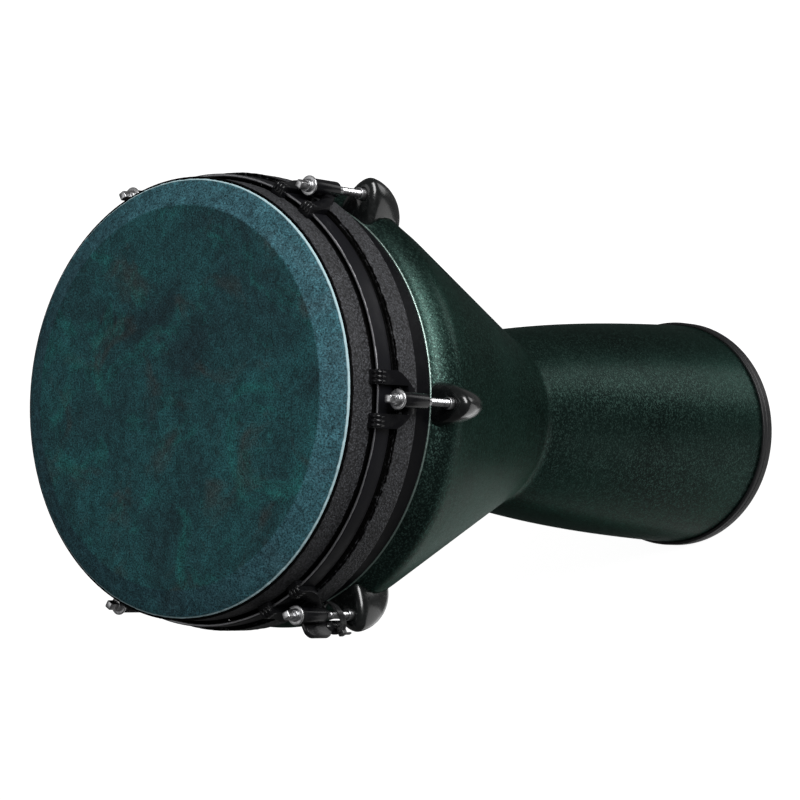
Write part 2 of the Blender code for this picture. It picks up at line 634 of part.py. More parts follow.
def build_key_and_tie(parts, cutters):
    """Tuning key beside the last station's rod and the tie that straps them together."""
    centre_x, centre_y = KEY_OFFSET
    paddle_low = drop_to_z(KEY_PADDLE_DROP + KEY_PADDLE[2])
    key = box("tuning_key", KEY_PADDLE, (centre_x, centre_y, paddle_low + KEY_PADDLE[2] / 2.0), parts)
    round_off = key.modifiers.new("paddle_round", "BEVEL")
    round_off.width = 1.8 * MM
    round_off.segments = 2
    stem = cylinder("key_stem", KEY_STEM_RADIUS, drop_to_z(KEY_END_DROP), paddle_low + 4.0, cutters, 14)
    place(stem, Matrix.Translation((centre_x * MM, centre_y * MM, 0.0)))
    combine(key, stem, "UNION")
    socket_top = drop_to_z(KEY_END_DROP) + KEY_SOCKET_DEPTH
    socket = box("key_socket", (KEY_SOCKET, KEY_SOCKET, 2.0 * KEY_SOCKET_DEPTH),
                 (centre_x, centre_y, socket_top - KEY_SOCKET_DEPTH), cutters)
    combine(key, socket, "DIFFERENCE")
    freeze(key)
    slack = 2.0 * GAP
    inner = belt_outline((0.0, 0.0), ROD_RADIUS + slack, KEY_OFFSET, KEY_STEM_RADIUS + slack)
    outer = belt_outline((0.0, 0.0), ROD_RADIUS + slack + TIE_THICKNESS, KEY_OFFSET,
                         KEY_STEM_RADIUS + slack + TIE_THICKNESS)
    lift = Matrix.Translation((0.0, 0.0, drop_to_z(TIE_DROP) * MM))
    tie = plate("cable_tie", [outer, inner], TIE_WIDTH, lift, parts)
    lock_reach = KEY_STEM_RADIUS + slack + TIE_THICKNESS
    lock_x = centre_x + lock_reach + TIE_LOCK[0] / 3.0
    lock = box("tie_lock", TIE_LOCK, (lock_x, centre_y, drop_to_z(TIE_DROP)), cutters)
    combine(tie, lock, "UNION")
    freeze(tie)
    home = station_turn(KEY_STATION) @ Matrix.Translation((ROD_CIRCLE * MM, 0.0, 0.0))
    for piece in (key, tie):
        piece.matrix_world = home
    return key, tie


def build_drum():
    """Make every piece of the drum and give it its finish."""
    clear_scene()
    parts = make_collection("djembe")
    cutters = make_collection("djembe_cutters")
    finish = make_materials()
    dress(build_shell(parts, cutters), finish["shell_green"])
    dress(build_foot_ring(parts), finish["foot_rubber"])
    dress(build_bearing_ring(parts), finish["rim_black"])
    film, collar, flesh = build_head(parts)
    dress(film, finish["head_film"])
    dress(collar, finish["collar_black"])
    dress(flesh, finish["collar_black"])
    dress(build_counterhoop(parts), finish["hoop_black"])
    families = (
        ("claw", claw_mesh(parts, cutters), "claw_black", False),
        ("tension_rod", rod_mesh(parts, cutters), "rod_steel", True),
        ("lug_casing", lug_mesh(parts, cutters), "lug_black", False),
        ("swivel_nut", nut_mesh(parts), "nut_steel", True),
        ("washer_plate", plate_mesh(parts, cutters), "nut_steel", False),
    )
    for name, pattern, material, on_rod in families:
        dress(pattern, finish[material])
        repeat_at_stations(name, pattern, parts, on_rod)
    for index, drop in enumerate(SCREW_DROPS):
        screw = screw_mesh(parts)
        place(screw, screw_matrix(drop))
        dress(screw, finish["nut_steel"])
        repeat_at_stations(("upper_screw", "lower_screw")[index], screw, parts)
    key, tie = build_key_and_tie(parts, cutters)
    dress(key, finish["key_black"])
    dress(tie, finish["tie_nylon"])


build_drum()
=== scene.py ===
"""Finished surface of a key-tuned djembe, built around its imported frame.

Sizes are in millimetres and become metres where a mesh is made. A "drop" is the distance down the drum
from the edge of the film head, and a station is one of the six places where a claw, rod and lug pull the
head down. Pieces that belong to one station are modelled at +X and turned into place.
"""

import json
import logging
import math
from collections.abc import Iterable, Sequence
from dataclasses import dataclass, field
from enum import Enum

import bmesh
import bpy
from mathutils import Matrix, Vector

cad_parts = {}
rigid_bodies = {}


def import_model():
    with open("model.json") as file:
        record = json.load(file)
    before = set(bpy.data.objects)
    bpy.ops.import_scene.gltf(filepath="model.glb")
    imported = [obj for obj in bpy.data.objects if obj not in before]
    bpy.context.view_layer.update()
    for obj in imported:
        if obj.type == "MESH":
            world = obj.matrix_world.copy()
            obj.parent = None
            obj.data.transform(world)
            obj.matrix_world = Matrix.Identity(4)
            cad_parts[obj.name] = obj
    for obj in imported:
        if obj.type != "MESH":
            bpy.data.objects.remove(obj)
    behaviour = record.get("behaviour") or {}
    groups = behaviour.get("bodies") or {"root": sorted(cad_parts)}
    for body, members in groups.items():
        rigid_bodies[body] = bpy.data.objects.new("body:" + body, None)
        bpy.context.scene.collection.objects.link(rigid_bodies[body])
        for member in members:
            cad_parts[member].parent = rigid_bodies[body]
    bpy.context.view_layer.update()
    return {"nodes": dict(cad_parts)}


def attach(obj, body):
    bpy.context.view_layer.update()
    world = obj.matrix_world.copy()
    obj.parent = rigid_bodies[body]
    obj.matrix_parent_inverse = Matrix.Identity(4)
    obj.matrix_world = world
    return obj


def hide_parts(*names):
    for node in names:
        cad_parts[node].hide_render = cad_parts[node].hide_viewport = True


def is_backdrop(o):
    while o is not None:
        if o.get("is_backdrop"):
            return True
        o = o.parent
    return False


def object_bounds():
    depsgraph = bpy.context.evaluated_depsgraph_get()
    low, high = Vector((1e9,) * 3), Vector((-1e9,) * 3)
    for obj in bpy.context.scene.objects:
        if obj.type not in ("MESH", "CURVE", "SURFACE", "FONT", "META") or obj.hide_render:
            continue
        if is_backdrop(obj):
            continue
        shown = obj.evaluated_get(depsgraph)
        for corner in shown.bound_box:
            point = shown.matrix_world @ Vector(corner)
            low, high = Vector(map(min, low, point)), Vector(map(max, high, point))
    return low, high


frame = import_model()

LOG = logging.getLogger("djembe")
MM = 0.001
EDGE_Z = 601.4                 # height of the film's edge above the foot
STATIONS = 6
FIRST_AZIMUTH = math.radians(-90.0)
ROD_CIRCLE = 168.2             # distance of each rod from the drum's axis
KEY_STATION = 5

Point = tuple[float, float]
Colour = tuple[float, float, float]


class Body(Enum):
    """Bodies of the frame that the pieces ride on."""

    DRUM = "drum"
    HOOP = "hoop"
    KEY = "key"


class Crease(Enum):
    """Angle in degrees past which an edge stays sharp when a piece is shaded smooth."""

    SOFT = 62.0
    PLAIN = 38.0
    CRISP = 24.0


def height(drop: float) -> float:
    """Return the height above the foot, in millimetres, of a point at this drop."""
    return EDGE_Z - drop


def station_turn(index: int) -> Matrix:
    """Return the turn about the drum's axis that brings a piece from +X to its station."""
    return Matrix.Rotation(FIRST_AZIMUTH + math.tau * index / STATIONS, 4, "Z")


def on_rod() -> Matrix:
    """Return the shift from the drum's axis to a rod's axis at +X."""
    return Matrix.Translation((ROD_CIRCLE * MM, 0.0, 0.0))


# ---------------------------------------------------------------------------------------------------
# Node trees
# ---------------------------------------------------------------------------------------------------


@dataclass
class Wiring:
    """Short calls for adding and joining nodes in one tree."""

    tree: bpy.types.NodeTree

    def add(self, kind: str, **settings: object) -> bpy.types.Node:
        """Add a node.

        Args:
            kind: Blender's name of the node type.
            settings: Properties to set on the node, such as operation.

        Returns:
            The new node.
        """
        node = self.tree.nodes.new(kind)
        for name, value in settings.items():
            setattr(node, name, value)
        return node

    def join(self, source: bpy.types.NodeSocket, target: bpy.types.NodeSocket) -> None:
        """Link an output socket to an input socket."""
        self.tree.links.new(source, target)

    def feed(self, socket: bpy.types.NodeSocket, value: object) -> None:
        """Link a socket to another socket, or set it to a plain value."""
        if isinstance(value, bpy.types.NodeSocket):
            self.join(value, socket)
        else:
            socket.default_value = value

    def math(self, operation: str, first: object, second: object = 0.0) -> bpy.types.NodeSocket:
        """Return the result of a Math node on two numbers or sockets."""
        node = self.add("ShaderNodeMath", operation=operation)
        self.feed(node.inputs[0], first)
        self.feed(node.inputs[1], second)
        return node.outputs[0]

    def vector(self, operation: str, first: object,
               second: object = (0.0, 0.0, 0.0)) -> bpy.types.NodeSocket:
        """Return the result of a Vector Math node on two vectors or sockets."""
        node = self.add("ShaderNodeVectorMath", operation=operation)
        self.feed(node.inputs[0], first)
        if operation == "SCALE":
            self.feed(node.inputs["Scale"], second)
        else:
            self.feed(node.inputs[1], second)
        return node.outputs[0]


class GeometryRule:
    """Base of the Geometry Nodes trees: named inputs, and realised, dressed geometry at the end."""

    name = "rule"
    sockets: Sequence[tuple[str, str]] = ()

    def __init__(self) -> None:
        """Make the tree with its named inputs and its output."""
        self.tree = bpy.data.node_groups.new(self.name, "GeometryNodeTree")
        self.ids: dict[str, str] = {}
        face = self.tree.interface
        shape = face.new_socket("Geometry", in_out="INPUT", socket_type="NodeSocketGeometry")
        self.ids["Geometry"] = shape.identifier
        for label, kind in (*self.sockets, ("Material", "NodeSocketMaterial")):
            made = face.new_socket(label, in_out="INPUT", socket_type=kind)
            self.ids[label] = made.identifier
        face.new_socket("Geometry", in_out="OUTPUT", socket_type="NodeSocketGeometry")
        self.wires = Wiring(self.tree)
        self.source = self.wires.add("NodeGroupInput")
        result = self.build()
        real = self.wires.add("GeometryNodeRealizeInstances")
        dress = self.wires.add("GeometryNodeSetMaterial")
        end = self.wires.add("NodeGroupOutput")
        self.wires.join(result, real.inputs["Geometry"])
        self.wires.join(real.outputs["Geometry"], dress.inputs["Geometry"])
        self.wires.join(self.source.outputs["Material"], dress.inputs["Material"])
        self.wires.join(dress.outputs["Geometry"], end.inputs["Geometry"])

    def build(self) -> bpy.types.NodeSocket:
        """Add the rule's own nodes and return the socket with their geometry."""
        return self.source.outputs["Geometry"]

    def wrap(self, rows: bpy.types.NodeSocket, steps: bpy.types.NodeSocket) -> tuple:
        """Add a grid whose columns go round an axis and whose rows go along it.

        Args:
            rows: Number of points along the axis.
            steps: Number of facets round the axis.

        Returns:
            The grid's geometry, the row number of each point and its angle.
        """
        wires = self.wires
        grid = wires.add("GeometryNodeMeshGrid")
        columns = wires.math("ADD", steps, 1.0)
        wires.join(columns, grid.inputs["Vertices X"])
        wires.join(rows, grid.inputs["Vertices Y"])
        index = wires.add("GeometryNodeInputIndex").outputs[0]
        row = wires.add("FunctionNodeIntegerMath", operation="MODULO")
        column = wires.add("FunctionNodeIntegerMath", operation="DIVIDE_FLOOR")
        for node in (row, column):
            wires.join(index, node.inputs[0])
            wires.join(rows, node.inputs[1])
        angle = wires.math("MULTIPLY", wires.math("DIVIDE", column.outputs[0], steps), math.tau)
        return grid.outputs["Mesh"], row.outputs[0], angle

    def close(self, mesh: bpy.types.NodeSocket, place: bpy.types.NodeSocket) -> bpy.types.NodeSocket:
        """Put every point in its place and weld the seam and the poles."""
        move = self.wires.add("GeometryNodeSetPosition")
        weld = self.wires.add("GeometryNodeMergeByDistance")
        weld.inputs["Distance"].default_value = 0.000002
        self.wires.join(mesh, move.inputs["Geometry"])
        self.wires.join(place, move.inputs["Position"])
        self.wires.join(move.outputs["Geometry"], weld.inputs["Geometry"])
        return weld.outputs["Geometry"]

    def apply(self, name: str, mesh: bpy.types.Mesh, material: bpy.types.Material,
              **values: object) -> bpy.types.Mesh:
        """Run the rule on a mesh and return the plain mesh that comes out.

        Args:
            name: Name of the new mesh.
            mesh: Mesh that the rule reads.
            material: Finish that the rule sets.
            values: The rule's named inputs, with underscores for spaces.

        Returns:
            A mesh with no modifier and no instances.
        """
        blank = bpy.data.objects.new(name + "_blank", mesh)
        bpy.context.scene.collection.objects.link(blank)
        modifier = blank.modifiers.new(self.name, "NODES")
        modifier.node_group = self.tree
        modifier[self.ids["Material"]] = material
        for label, value in values.items():
            modifier[self.ids[label.replace("_", " ")]] = value
        blank.update_tag()
        bpy.context.view_layer.update()
        graph = bpy.context.evaluated_depsgraph_get()
        made = bpy.data.meshes.new_from_object(blank.evaluated_get(graph), depsgraph=graph)
        bpy.data.objects.remove(blank, do_unlink=True)
        made.name = name
        return made


class TurnedRule(GeometryRule):
    """Turns a profile of points, radius along X and height along Z, round the drum's axis.

    Wobble moves the surface in and out by up to that many metres, in swells of about Swell metres.
    """

    name = "turned_piece"
    sockets = (("Steps", "NodeSocketInt"), ("Wobble", "NodeSocketFloat"), ("Swell", "NodeSocketFloat"),
               ("Seed", "NodeSocketFloat"))

    def build(self) -> bpy.types.NodeSocket:
        """Wrap a grid round the axis and read each row's point from the profile."""
        wires = self.wires
        profile = self.source.outputs["Geometry"]
        count = wires.add("GeometryNodeAttributeDomainSize", component="MESH")
        wires.join(profile, count.inputs["Geometry"])
        mesh, row, angle = self.wrap(count.outputs["Point Count"], self.source.outputs["Steps"])
        read = wires.add("GeometryNodeSampleIndex", data_type="FLOAT_VECTOR", domain="POINT")
        wires.join(profile, read.inputs["Geometry"])
        wires.join(wires.add("GeometryNodeInputPosition").outputs[0], read.inputs["Value"])
        wires.join(row, read.inputs["Index"])
        turn = wires.add("ShaderNodeVectorRotate", rotation_type="Z_AXIS")
        wires.join(read.outputs["Value"], turn.inputs["Vector"])
        wires.join(angle, turn.inputs["Angle"])
        smooth = turn.outputs["Vector"]
        noise = wires.add("ShaderNodeTexNoise", noise_dimensions="4D")
        wires.join(smooth, noise.inputs["Vector"])
        wires.join(self.source.outputs["Seed"], noise.inputs["W"])
        wires.join(wires.math("DIVIDE", 1.0, self.source.outputs["Swell"]), noise.inputs["Scale"])
        swing = wires.math("MULTIPLY", wires.math("SUBTRACT", noise.outputs["Fac"], 0.5), 2.0)
        amount = wires.math("MULTIPLY", swing, self.source.outputs["Wobble"])
        flat = wires.vector("MULTIPLY", smooth, (1.0, 1.0, 0.0))
        outward = wires.vector("NORMALIZE", flat)
        return self.close(mesh, wires.vector("ADD", smooth, wires.vector("SCALE", outward, amount)))


class ThreadRule(GeometryRule):
    """Cuts a screw thread: a closed rod about Z from Top down, with its crest winding round it."""

    name = "screw_thread"
    sockets = (("Top", "NodeSocketFloat"), ("Length", "NodeSocketFloat"), ("Core", "NodeSocketFloat"),
               ("Crest", "NodeSocketFloat"), ("Pitch", "NodeSocketFloat"), ("Rows", "NodeSocketInt"),
               ("Steps", "NodeSocketInt"))

    def build(self) -> bpy.types.NodeSocket:
        """Wrap a grid round the rod's axis; each point's radius follows its phase on the thread."""
        wires = self.wires
        inputs = self.source.outputs
        mesh, row, angle = self.wrap(inputs["Rows"], inputs["Steps"])
        last = wires.math("SUBTRACT", inputs["Rows"], 1.0)
        span = wires.math("SUBTRACT", inputs["Rows"], 3.0)
        inner = wires.math("MINIMUM", wires.math("MAXIMUM", wires.math("SUBTRACT", row, 1.0), 0.0), span)
        along = wires.math("MULTIPLY", wires.math("DIVIDE", inner, span), inputs["Length"])
        turns = wires.math("ADD", wires.math("DIVIDE", along, inputs["Pitch"]),
                           wires.math("DIVIDE", angle, math.tau))
        wave = wires.math("PINGPONG", turns, 0.5)
        ridge = wires.math("MULTIPLY", wires.math("MULTIPLY", wave, 2.0), inputs["Crest"])
        radius = wires.math("ADD", inputs["Core"], ridge)
        past_first = wires.math("GREATER_THAN", row, 0.5)
        before_last = wires.math("LESS_THAN", row, wires.math("SUBTRACT", last, 0.5))
        radius = wires.math("MULTIPLY", radius, wires.math("MULTIPLY", past_first, before_last))
        place = wires.add("ShaderNodeCombineXYZ")
        wires.join(wires.math("MULTIPLY", radius, wires.math("COSINE", angle)), place.inputs["X"])
        wires.join(wires.math("MULTIPLY", radius, wires.math("SINE", angle)), place.inputs["Y"])
        wires.join(wires.math("SUBTRACT", inputs["Top"], along), place.inputs["Z"])
        return self.close(mesh, place.outputs["Vector"])


class StationRule(GeometryRule):
    """Repeats one piece, modelled at +X, at every station round the drum's axis."""

    name = "tuning_stations"
    sockets = (("Stations", "NodeSocketInt"), ("First Azimuth", "NodeSocketFloat"))

    def build(self) -> bpy.types.NodeSocket:
        """Instance the piece on one point for each station, each turned further round."""
        wires = self.wires
        points = wires.add("GeometryNodePoints")
        wires.join(self.source.outputs["Stations"], points.inputs["Count"])
        index = wires.add("GeometryNodeInputIndex").outputs[0]
        share = wires.math("DIVIDE", index, self.source.outputs["Stations"])
        azimuth = wires.math("ADD", wires.math("MULTIPLY", share, math.tau),
                             self.source.outputs["First Azimuth"])
        turn = wires.add("ShaderNodeCombineXYZ")
        wires.join(azimuth, turn.inputs["Z"])
        rotation = wires.add("FunctionNodeEulerToRotation")
        wires.join(turn.outputs["Vector"], rotation.inputs[0])
        copies = wires.add("GeometryNodeInstanceOnPoints")
        wires.join(points.outputs[0], copies.inputs["Points"])
        wires.join(self.source.outputs["Geometry"], copies.inputs["Instance"])
        wires.join(rotation.outputs[0], copies.inputs["Rotation"])
        return copies.outputs["Instances"]


class StrapRule(GeometryRule):
    """Makes a ribbed strap along a route of edges: a flat band with one small bar for each rib."""

    name = "ribbed_strap"
    sockets = (("Ribs", "NodeSocketInt"), ("Width", "NodeSocketFloat"), ("Thickness", "NodeSocketFloat"),
               ("Rib Size", "NodeSocketVector"))

    def build(self) -> bpy.types.NodeSocket:
        """Sweep the band's section along the route and set a rib on every point of it."""
        wires = self.wires
        inputs = self.source.outputs
        route = wires.add("GeometryNodeMeshToCurve")
        wires.join(inputs["Geometry"], route.inputs["Mesh"])
        even = wires.add("GeometryNodeResampleCurve")
        wires.join(route.outputs["Curve"], even.inputs["Curve"])
        wires.join(inputs["Ribs"], even.inputs["Count"])
        level = wires.add("GeometryNodeSetCurveNormal", mode="Z_UP")
        wires.join(even.outputs["Curve"], level.inputs["Curve"])
        section = wires.add("GeometryNodeCurvePrimitiveQuadrilateral")
        wires.join(inputs["Thickness"], section.inputs["Width"])
        wires.join(inputs["Width"], section.inputs["Height"])
        band = wires.add("GeometryNodeCurveToMesh")
        wires.join(level.outputs["Curve"], band.inputs["Curve"])
        wires.join(section.outputs["Curve"], band.inputs["Profile Curve"])
        rib = wires.add("GeometryNodeMeshCube")
        wires.join(inputs["Rib Size"], rib.inputs["Size"])
        tangent = wires.add("GeometryNodeInputTangent")
        aim = wires.add("FunctionNodeAlignRotationToVector", axis="Y", pivot_axis="Z")
        wires.join(tangent.outputs[0], aim.inputs["Vector"])
        ribs = wires.add("GeometryNodeInstanceOnPoints")
        wires.join(level.outputs["Curve"], ribs.inputs["Points"])
        wires.join(rib.outputs["Mesh"], ribs.inputs["Instance"])
        wires.join(aim.outputs[0], ribs.inputs["Rotation"])
        both = wires.add("GeometryNodeJoinGeometry")
        wires.join(band.outputs["Mesh"], both.inputs[0])
        wires.join(ribs.outputs["Instances"], both.inputs[0])
        return both.outputs[0]


# ---------------------------------------------------------------------------------------------------
# Finishes
# ---------------------------------------------------------------------------------------------------


@dataclass(frozen=True)
class Finish:
    """Base of the finishes: one Principled surface fed by procedural patterns on Object coordinates."""

    name: str
    slot: str

    def make(self) -> bpy.types.Material:
        """Return the material, made by this finish's own recipe."""
        material = bpy.data.materials.new(self.name)
        material.use_nodes = True
        wires = Wiring(material.node_tree)
        shader = material.node_tree.nodes["Principled BSDF"]
        place = wires.add("ShaderNodeTexCoord").outputs["Object"]
        self.mix(wires, shader, place)
        return material

    def mix(self, wires: Wiring, shader: bpy.types.Node, place: bpy.types.NodeSocket) -> None:
        """Wire the patterns into the shader."""

    @staticmethod
    def noise(wires: Wiring, place: bpy.types.NodeSocket, scale: float, detail: float = 3.0,
              roughness: float = 0.55, warp: float = 0.0) -> bpy.types.NodeSocket:
        """Return a noise pattern's value.

        Args:
            wires: Tree to add it to.
            place: Coordinates that it reads.
            scale: Number of swells in a metre.
            detail: Number of finer layers.
            roughness: Strength of the finer layers.
            warp: How far the pattern is pulled about.

        Returns:
            The socket with a value from 0 to 1.
        """
        node = wires.add("ShaderNodeTexNoise")
        node.inputs["Scale"].default_value = scale
        node.inputs["Detail"].default_value = detail
        node.inputs["Roughness"].default_value = roughness
        node.inputs["Distortion"].default_value = warp
        wires.join(place, node.inputs["Vector"])
        return node.outputs["Fac"]

    @staticmethod
    def level(wires: Wiring, place: bpy.types.NodeSocket) -> bpy.types.NodeSocket:
        """Return the height above the foot, in metres, of a place."""
        axes = wires.add("ShaderNodeSeparateXYZ")
        wires.join(place, axes.inputs[0])
        return axes.outputs["Z"]

    @staticmethod
    def span(wires: Wiring, value: bpy.types.NodeSocket, low: float, high: float, bottom: float = 0.0,
             top: float = 1.0) -> bpy.types.NodeSocket:
        """Return the value with its range from low to high spread over bottom to top, and held there."""
        node = wires.add("ShaderNodeMapRange")
        wires.join(value, node.inputs["Value"])
        for label, number in (("From Min", low), ("From Max", high), ("To Min", bottom), ("To Max", top)):
            node.inputs[label].default_value = number
        return node.outputs["Result"]

    @staticmethod
    def blend(wires: Wiring, share: object, first: object, second: object,
              mode: str = "MIX") -> bpy.types.NodeSocket:
        """Return two colours mixed by a share from 0 to 1."""
        node = wires.add("ShaderNodeMix", data_type="RGBA", blend_type=mode)
        wires.feed(node.inputs["Factor"], share)
        for socket, value in ((node.inputs[6], first), (node.inputs[7], second)):
            wires.feed(socket, (*value, 1.0) if isinstance(value, tuple) else value)
        return node.outputs[2]

    @staticmethod
    def bump(wires: Wiring, shader: bpy.types.Node, value: bpy.types.NodeSocket, depth: float,
             strength: float = 1.0) -> None:
        """Feed a height pattern, in metres of depth, to the shader's normal."""
        node = wires.add("ShaderNodeBump")
        node.inputs["Strength"].default_value = strength
        node.inputs["Distance"].default_value = depth
        wires.join(value, node.inputs["Height"])
        wires.join(node.outputs["Normal"], shader.inputs["Normal"])


@dataclass(frozen=True)
class SparklePaint(Finish):
    """Dark green metallic paint with coarse flake under a clear coat."""

    deep: Colour = (0.012, 0.024, 0.021)
    green: Colour = (0.026, 0.058, 0.048)
    flake: Colour = (0.070, 0.132, 0.112)
    edge_tint: Colour = (0.26, 0.38, 0.34)
    # Colour of the painted highlight along the lip, above the lip drop.
    lip: Colour = (0.36, 0.48, 0.44)
    lip_drop: float = 84.7
    lip_fade: float = 0.5
    flakes_per_metre: float = 1150.0
    flake_tilt: float = 0.18
    gloss: Point = (0.34, 0.54)

    def mix(self, wires: Wiring, shader: bpy.types.Node, place: bpy.types.NodeSocket) -> None:
        """Flake cells vary in colour and in tilt, over a slow drift from green to deep green; a pale band
        along the lip is a painted highlight.
        """
        cells = wires.add("ShaderNodeTexVoronoi")
        cells.inputs["Scale"].default_value = self.flakes_per_metre
        wires.join(place, cells.inputs["Vector"])
        split = wires.add("ShaderNodeSeparateColor")
        wires.join(cells.outputs["Color"], split.inputs[0])
        drift = self.span(wires, self.noise(wires, place, 9.0), 0.35, 0.65)
        base = self.blend(wires, drift, self.deep, self.green)
        bright = self.span(wires, split.outputs[0], 0.55, 1.0)
        base = self.blend(wires, bright, base, self.flake)
        # Painted highlight: the paint turns pale above the lip drop, along the lip's rounded edge.
        lip = self.span(wires, self.level(wires, place), height(self.lip_drop + self.lip_fade) * MM,
                        height(self.lip_drop) * MM)
        wires.join(self.blend(wires, lip, base, self.lip), shader.inputs["Base Color"])
        tilt = wires.vector("SUBTRACT", cells.outputs["Color"], (0.5, 0.5, 0.5))
        normal = wires.add("ShaderNodeNewGeometry").outputs["Normal"]
        leaned = wires.vector("ADD", normal, wires.vector("SCALE", tilt, self.flake_tilt))
        wires.join(wires.vector("NORMALIZE", leaned), shader.inputs["Normal"])
        wires.join(self.span(wires, split.outputs[1], 0.0, 1.0, *self.gloss), shader.inputs["Roughness"])
        shader.inputs["Metallic"].default_value = 0.96
        shader.inputs["Specular Tint"].default_value = (*self.edge_tint, 1.0)
        shader.inputs["Coat Weight"].default_value = 0.22
        shader.inputs["Coat Roughness"].default_value = 0.30
        shader.inputs["Coat IOR"].default_value = 1.45


@dataclass(frozen=True)
class SkinFilm(Finish):
    """Synthetic head film printed like dyed hide: teal blotches, brown shadows and grain."""

    dark: Colour = (0.011, 0.034, 0.041)
    teal: Colour = (0.016, 0.082, 0.090)
    brown: Colour = (0.036, 0.038, 0.036)
    bright: Colour = (0.014, 0.135, 0.122)
    margin: Colour = (0.040, 0.110, 0.138)
    # Colour of the painted highlight along the film's cut edge.
    edge: Colour = (0.46, 0.64, 0.68)
    flat_radius: float = 132.3
    edge_radius: float = 150.5
    gloss: Point = (0.74, 0.56)

    def mix(self, wires: Wiring, shader: bpy.types.Node, place: bpy.types.NodeSocket) -> None:
        """Layer the blotches from large to small, then the pale margin and a painted highlight along the
        cut edge.
        """
        cloud = self.span(wires, self.noise(wires, place, 11.0, 6.0, 0.62, 0.6), 0.36, 0.64)
        base = self.blend(wires, cloud, self.dark, self.teal)
        rust = self.span(wires, self.noise(wires, place, 23.0, 5.0, 0.6, 0.9), 0.54, 0.72, 0.0, 0.75)
        base = self.blend(wires, rust, base, self.brown)
        shifted = wires.vector("ADD", place, (0.37, 0.11, 0.0))
        glow = self.span(wires, self.noise(wires, shifted, 19.0, 7.0, 0.72, 1.1), 0.54, 0.74, 0.0, 0.80)
        base = self.blend(wires, glow, base, self.bright)
        grain = self.span(wires, self.noise(wires, place, 800.0, 3.0, 0.75), 0.34, 0.68, 0.15, 2.25)
        mottle = self.span(wires, self.noise(wires, place, 140.0, 4.0, 0.7, 0.8), 0.3, 0.7, 0.55, 1.50)
        shade = wires.math("MULTIPLY", grain, mottle)
        tone = wires.add("ShaderNodeCombineColor")
        for index in range(3):
            wires.join(shade, tone.inputs[index])
        base = self.blend(wires, 1.0, base, tone.outputs[0], "MULTIPLY")
        flat = wires.vector("MULTIPLY", place, (1.0, 1.0, 0.0))
        length = wires.add("ShaderNodeVectorMath", operation="LENGTH")
        wires.join(flat, length.inputs[0])
        radius = length.outputs["Value"]
        out = self.span(wires, radius, (self.flat_radius - 0.5) * MM, (self.flat_radius + 0.9) * MM)
        pale = self.blend(wires, 1.0, self.margin, tone.outputs[0], "MULTIPLY")
        pale = self.blend(wires, 0.35, pale, base)
        base = self.blend(wires, out, base, pale)
        # Painted highlight: a thin bright band at the film's cut edge, all the way round.
        rim = self.span(wires, radius, (self.edge_radius - 0.35) * MM, (self.edge_radius + 0.15) * MM)
        base = self.blend(wires, rim, base, self.edge)
        wires.join(base, shader.inputs["Base Color"])
        wires.join(self.span(wires, grain, 0.4, 1.8, *self.gloss), shader.inputs["Roughness"])
        shader.inputs["Specular IOR Level"].default_value = 0.22
        relief = wires.math("ADD", grain, wires.math("MULTIPLY", mottle, 0.6))
        self.bump(wires, shader, relief, 0.00012, 0.5)


@dataclass(frozen=True)
class PebbledWrap(Finish):
    """Black moulded wrap with a pebbled grain, dust and painted sheen on the pebble tops, and painted shade
    at both ends.
    """

    # Between these drops the wrap keeps its own colour; above and below them it is painted near black as
    # shade.
    unshaded_drops: Point = (2.6, 20.4)
    black: Colour = (0.007, 0.007, 0.008)
    # Paler colour of the pebble tops: dust and painted sheen.
    grey: Colour = (0.215, 0.222, 0.246)
    # Near-black colour of the painted shade.
    painted_shade: Colour = (0.001, 0.001, 0.001)
    pebbles_per_metre: float = 620.0
    raggedness: float = 2.4
    gloss: Point = (0.52, 0.80)

    def mix(self, wires: Wiring, shader: bpy.types.Node, place: bpy.types.NodeSocket) -> None:
        """Pebbles stand up as small cells whose tops are painted paler as dust and painted sheen; past the
        unshaded part all is painted shade.
        """
        cells = wires.add("ShaderNodeTexVoronoi", feature="SMOOTH_F1")
        cells.inputs["Scale"].default_value = self.pebbles_per_metre
        cells.inputs["Smoothness"].default_value = 0.4
        wires.join(place, cells.inputs["Vector"])
        crest = self.span(wires, cells.outputs["Distance"], 0.0, 0.75, 1.0, 0.0)
        fine = self.noise(wires, place, 1500.0, 2.0, 0.7)
        patch = self.span(wires, self.noise(wires, place, 90.0, 4.0, 0.65), 0.35, 0.70)
        # Dust and painted sheen: the pebble tops are painted paler, more so in patches.
        top = wires.math("MULTIPLY", crest, self.span(wires, fine, 0.38, 0.70))
        dust = wires.math("MULTIPLY", top, wires.math("ADD", wires.math("MULTIPLY", patch, 0.5), 0.55))
        base = self.blend(wires, dust, self.black, self.grey)
        # Painted shade: outside the given drops, behind a ragged edge, the colour goes near black, for the
        # shade under the film's edge, around the counterhoop and under the flesh hoop.
        swing = wires.math("SUBTRACT", self.noise(wires, place, 240.0), 0.5)
        ragged = wires.math("MULTIPLY", swing, self.raggedness * MM)
        level = wires.math("ADD", self.level(wires, place), ragged)
        first, last = (height(drop) * MM for drop in self.unshaded_drops)
        above = self.span(wires, level, first, first + 0.4 * MM)
        below = self.span(wires, level, last, last - 0.4 * MM)
        shade_mask = wires.math("MAXIMUM", above, below)
        wires.join(self.blend(wires, shade_mask, base, self.painted_shade), shader.inputs["Base Color"])
        # The painted shade is also given almost no specular shine.
        shine = self.span(wires, shade_mask, 0.0, 1.0, 0.5, 0.06)
        wires.join(shine, shader.inputs["Specular IOR Level"])
        wires.join(self.span(wires, fine, 0.3, 0.7, *self.gloss), shader.inputs["Roughness"])
        relief = wires.math("ADD", crest, wires.math("MULTIPLY", fine, 0.5))
        self.bump(wires, shader, relief, 0.0005, 0.8)


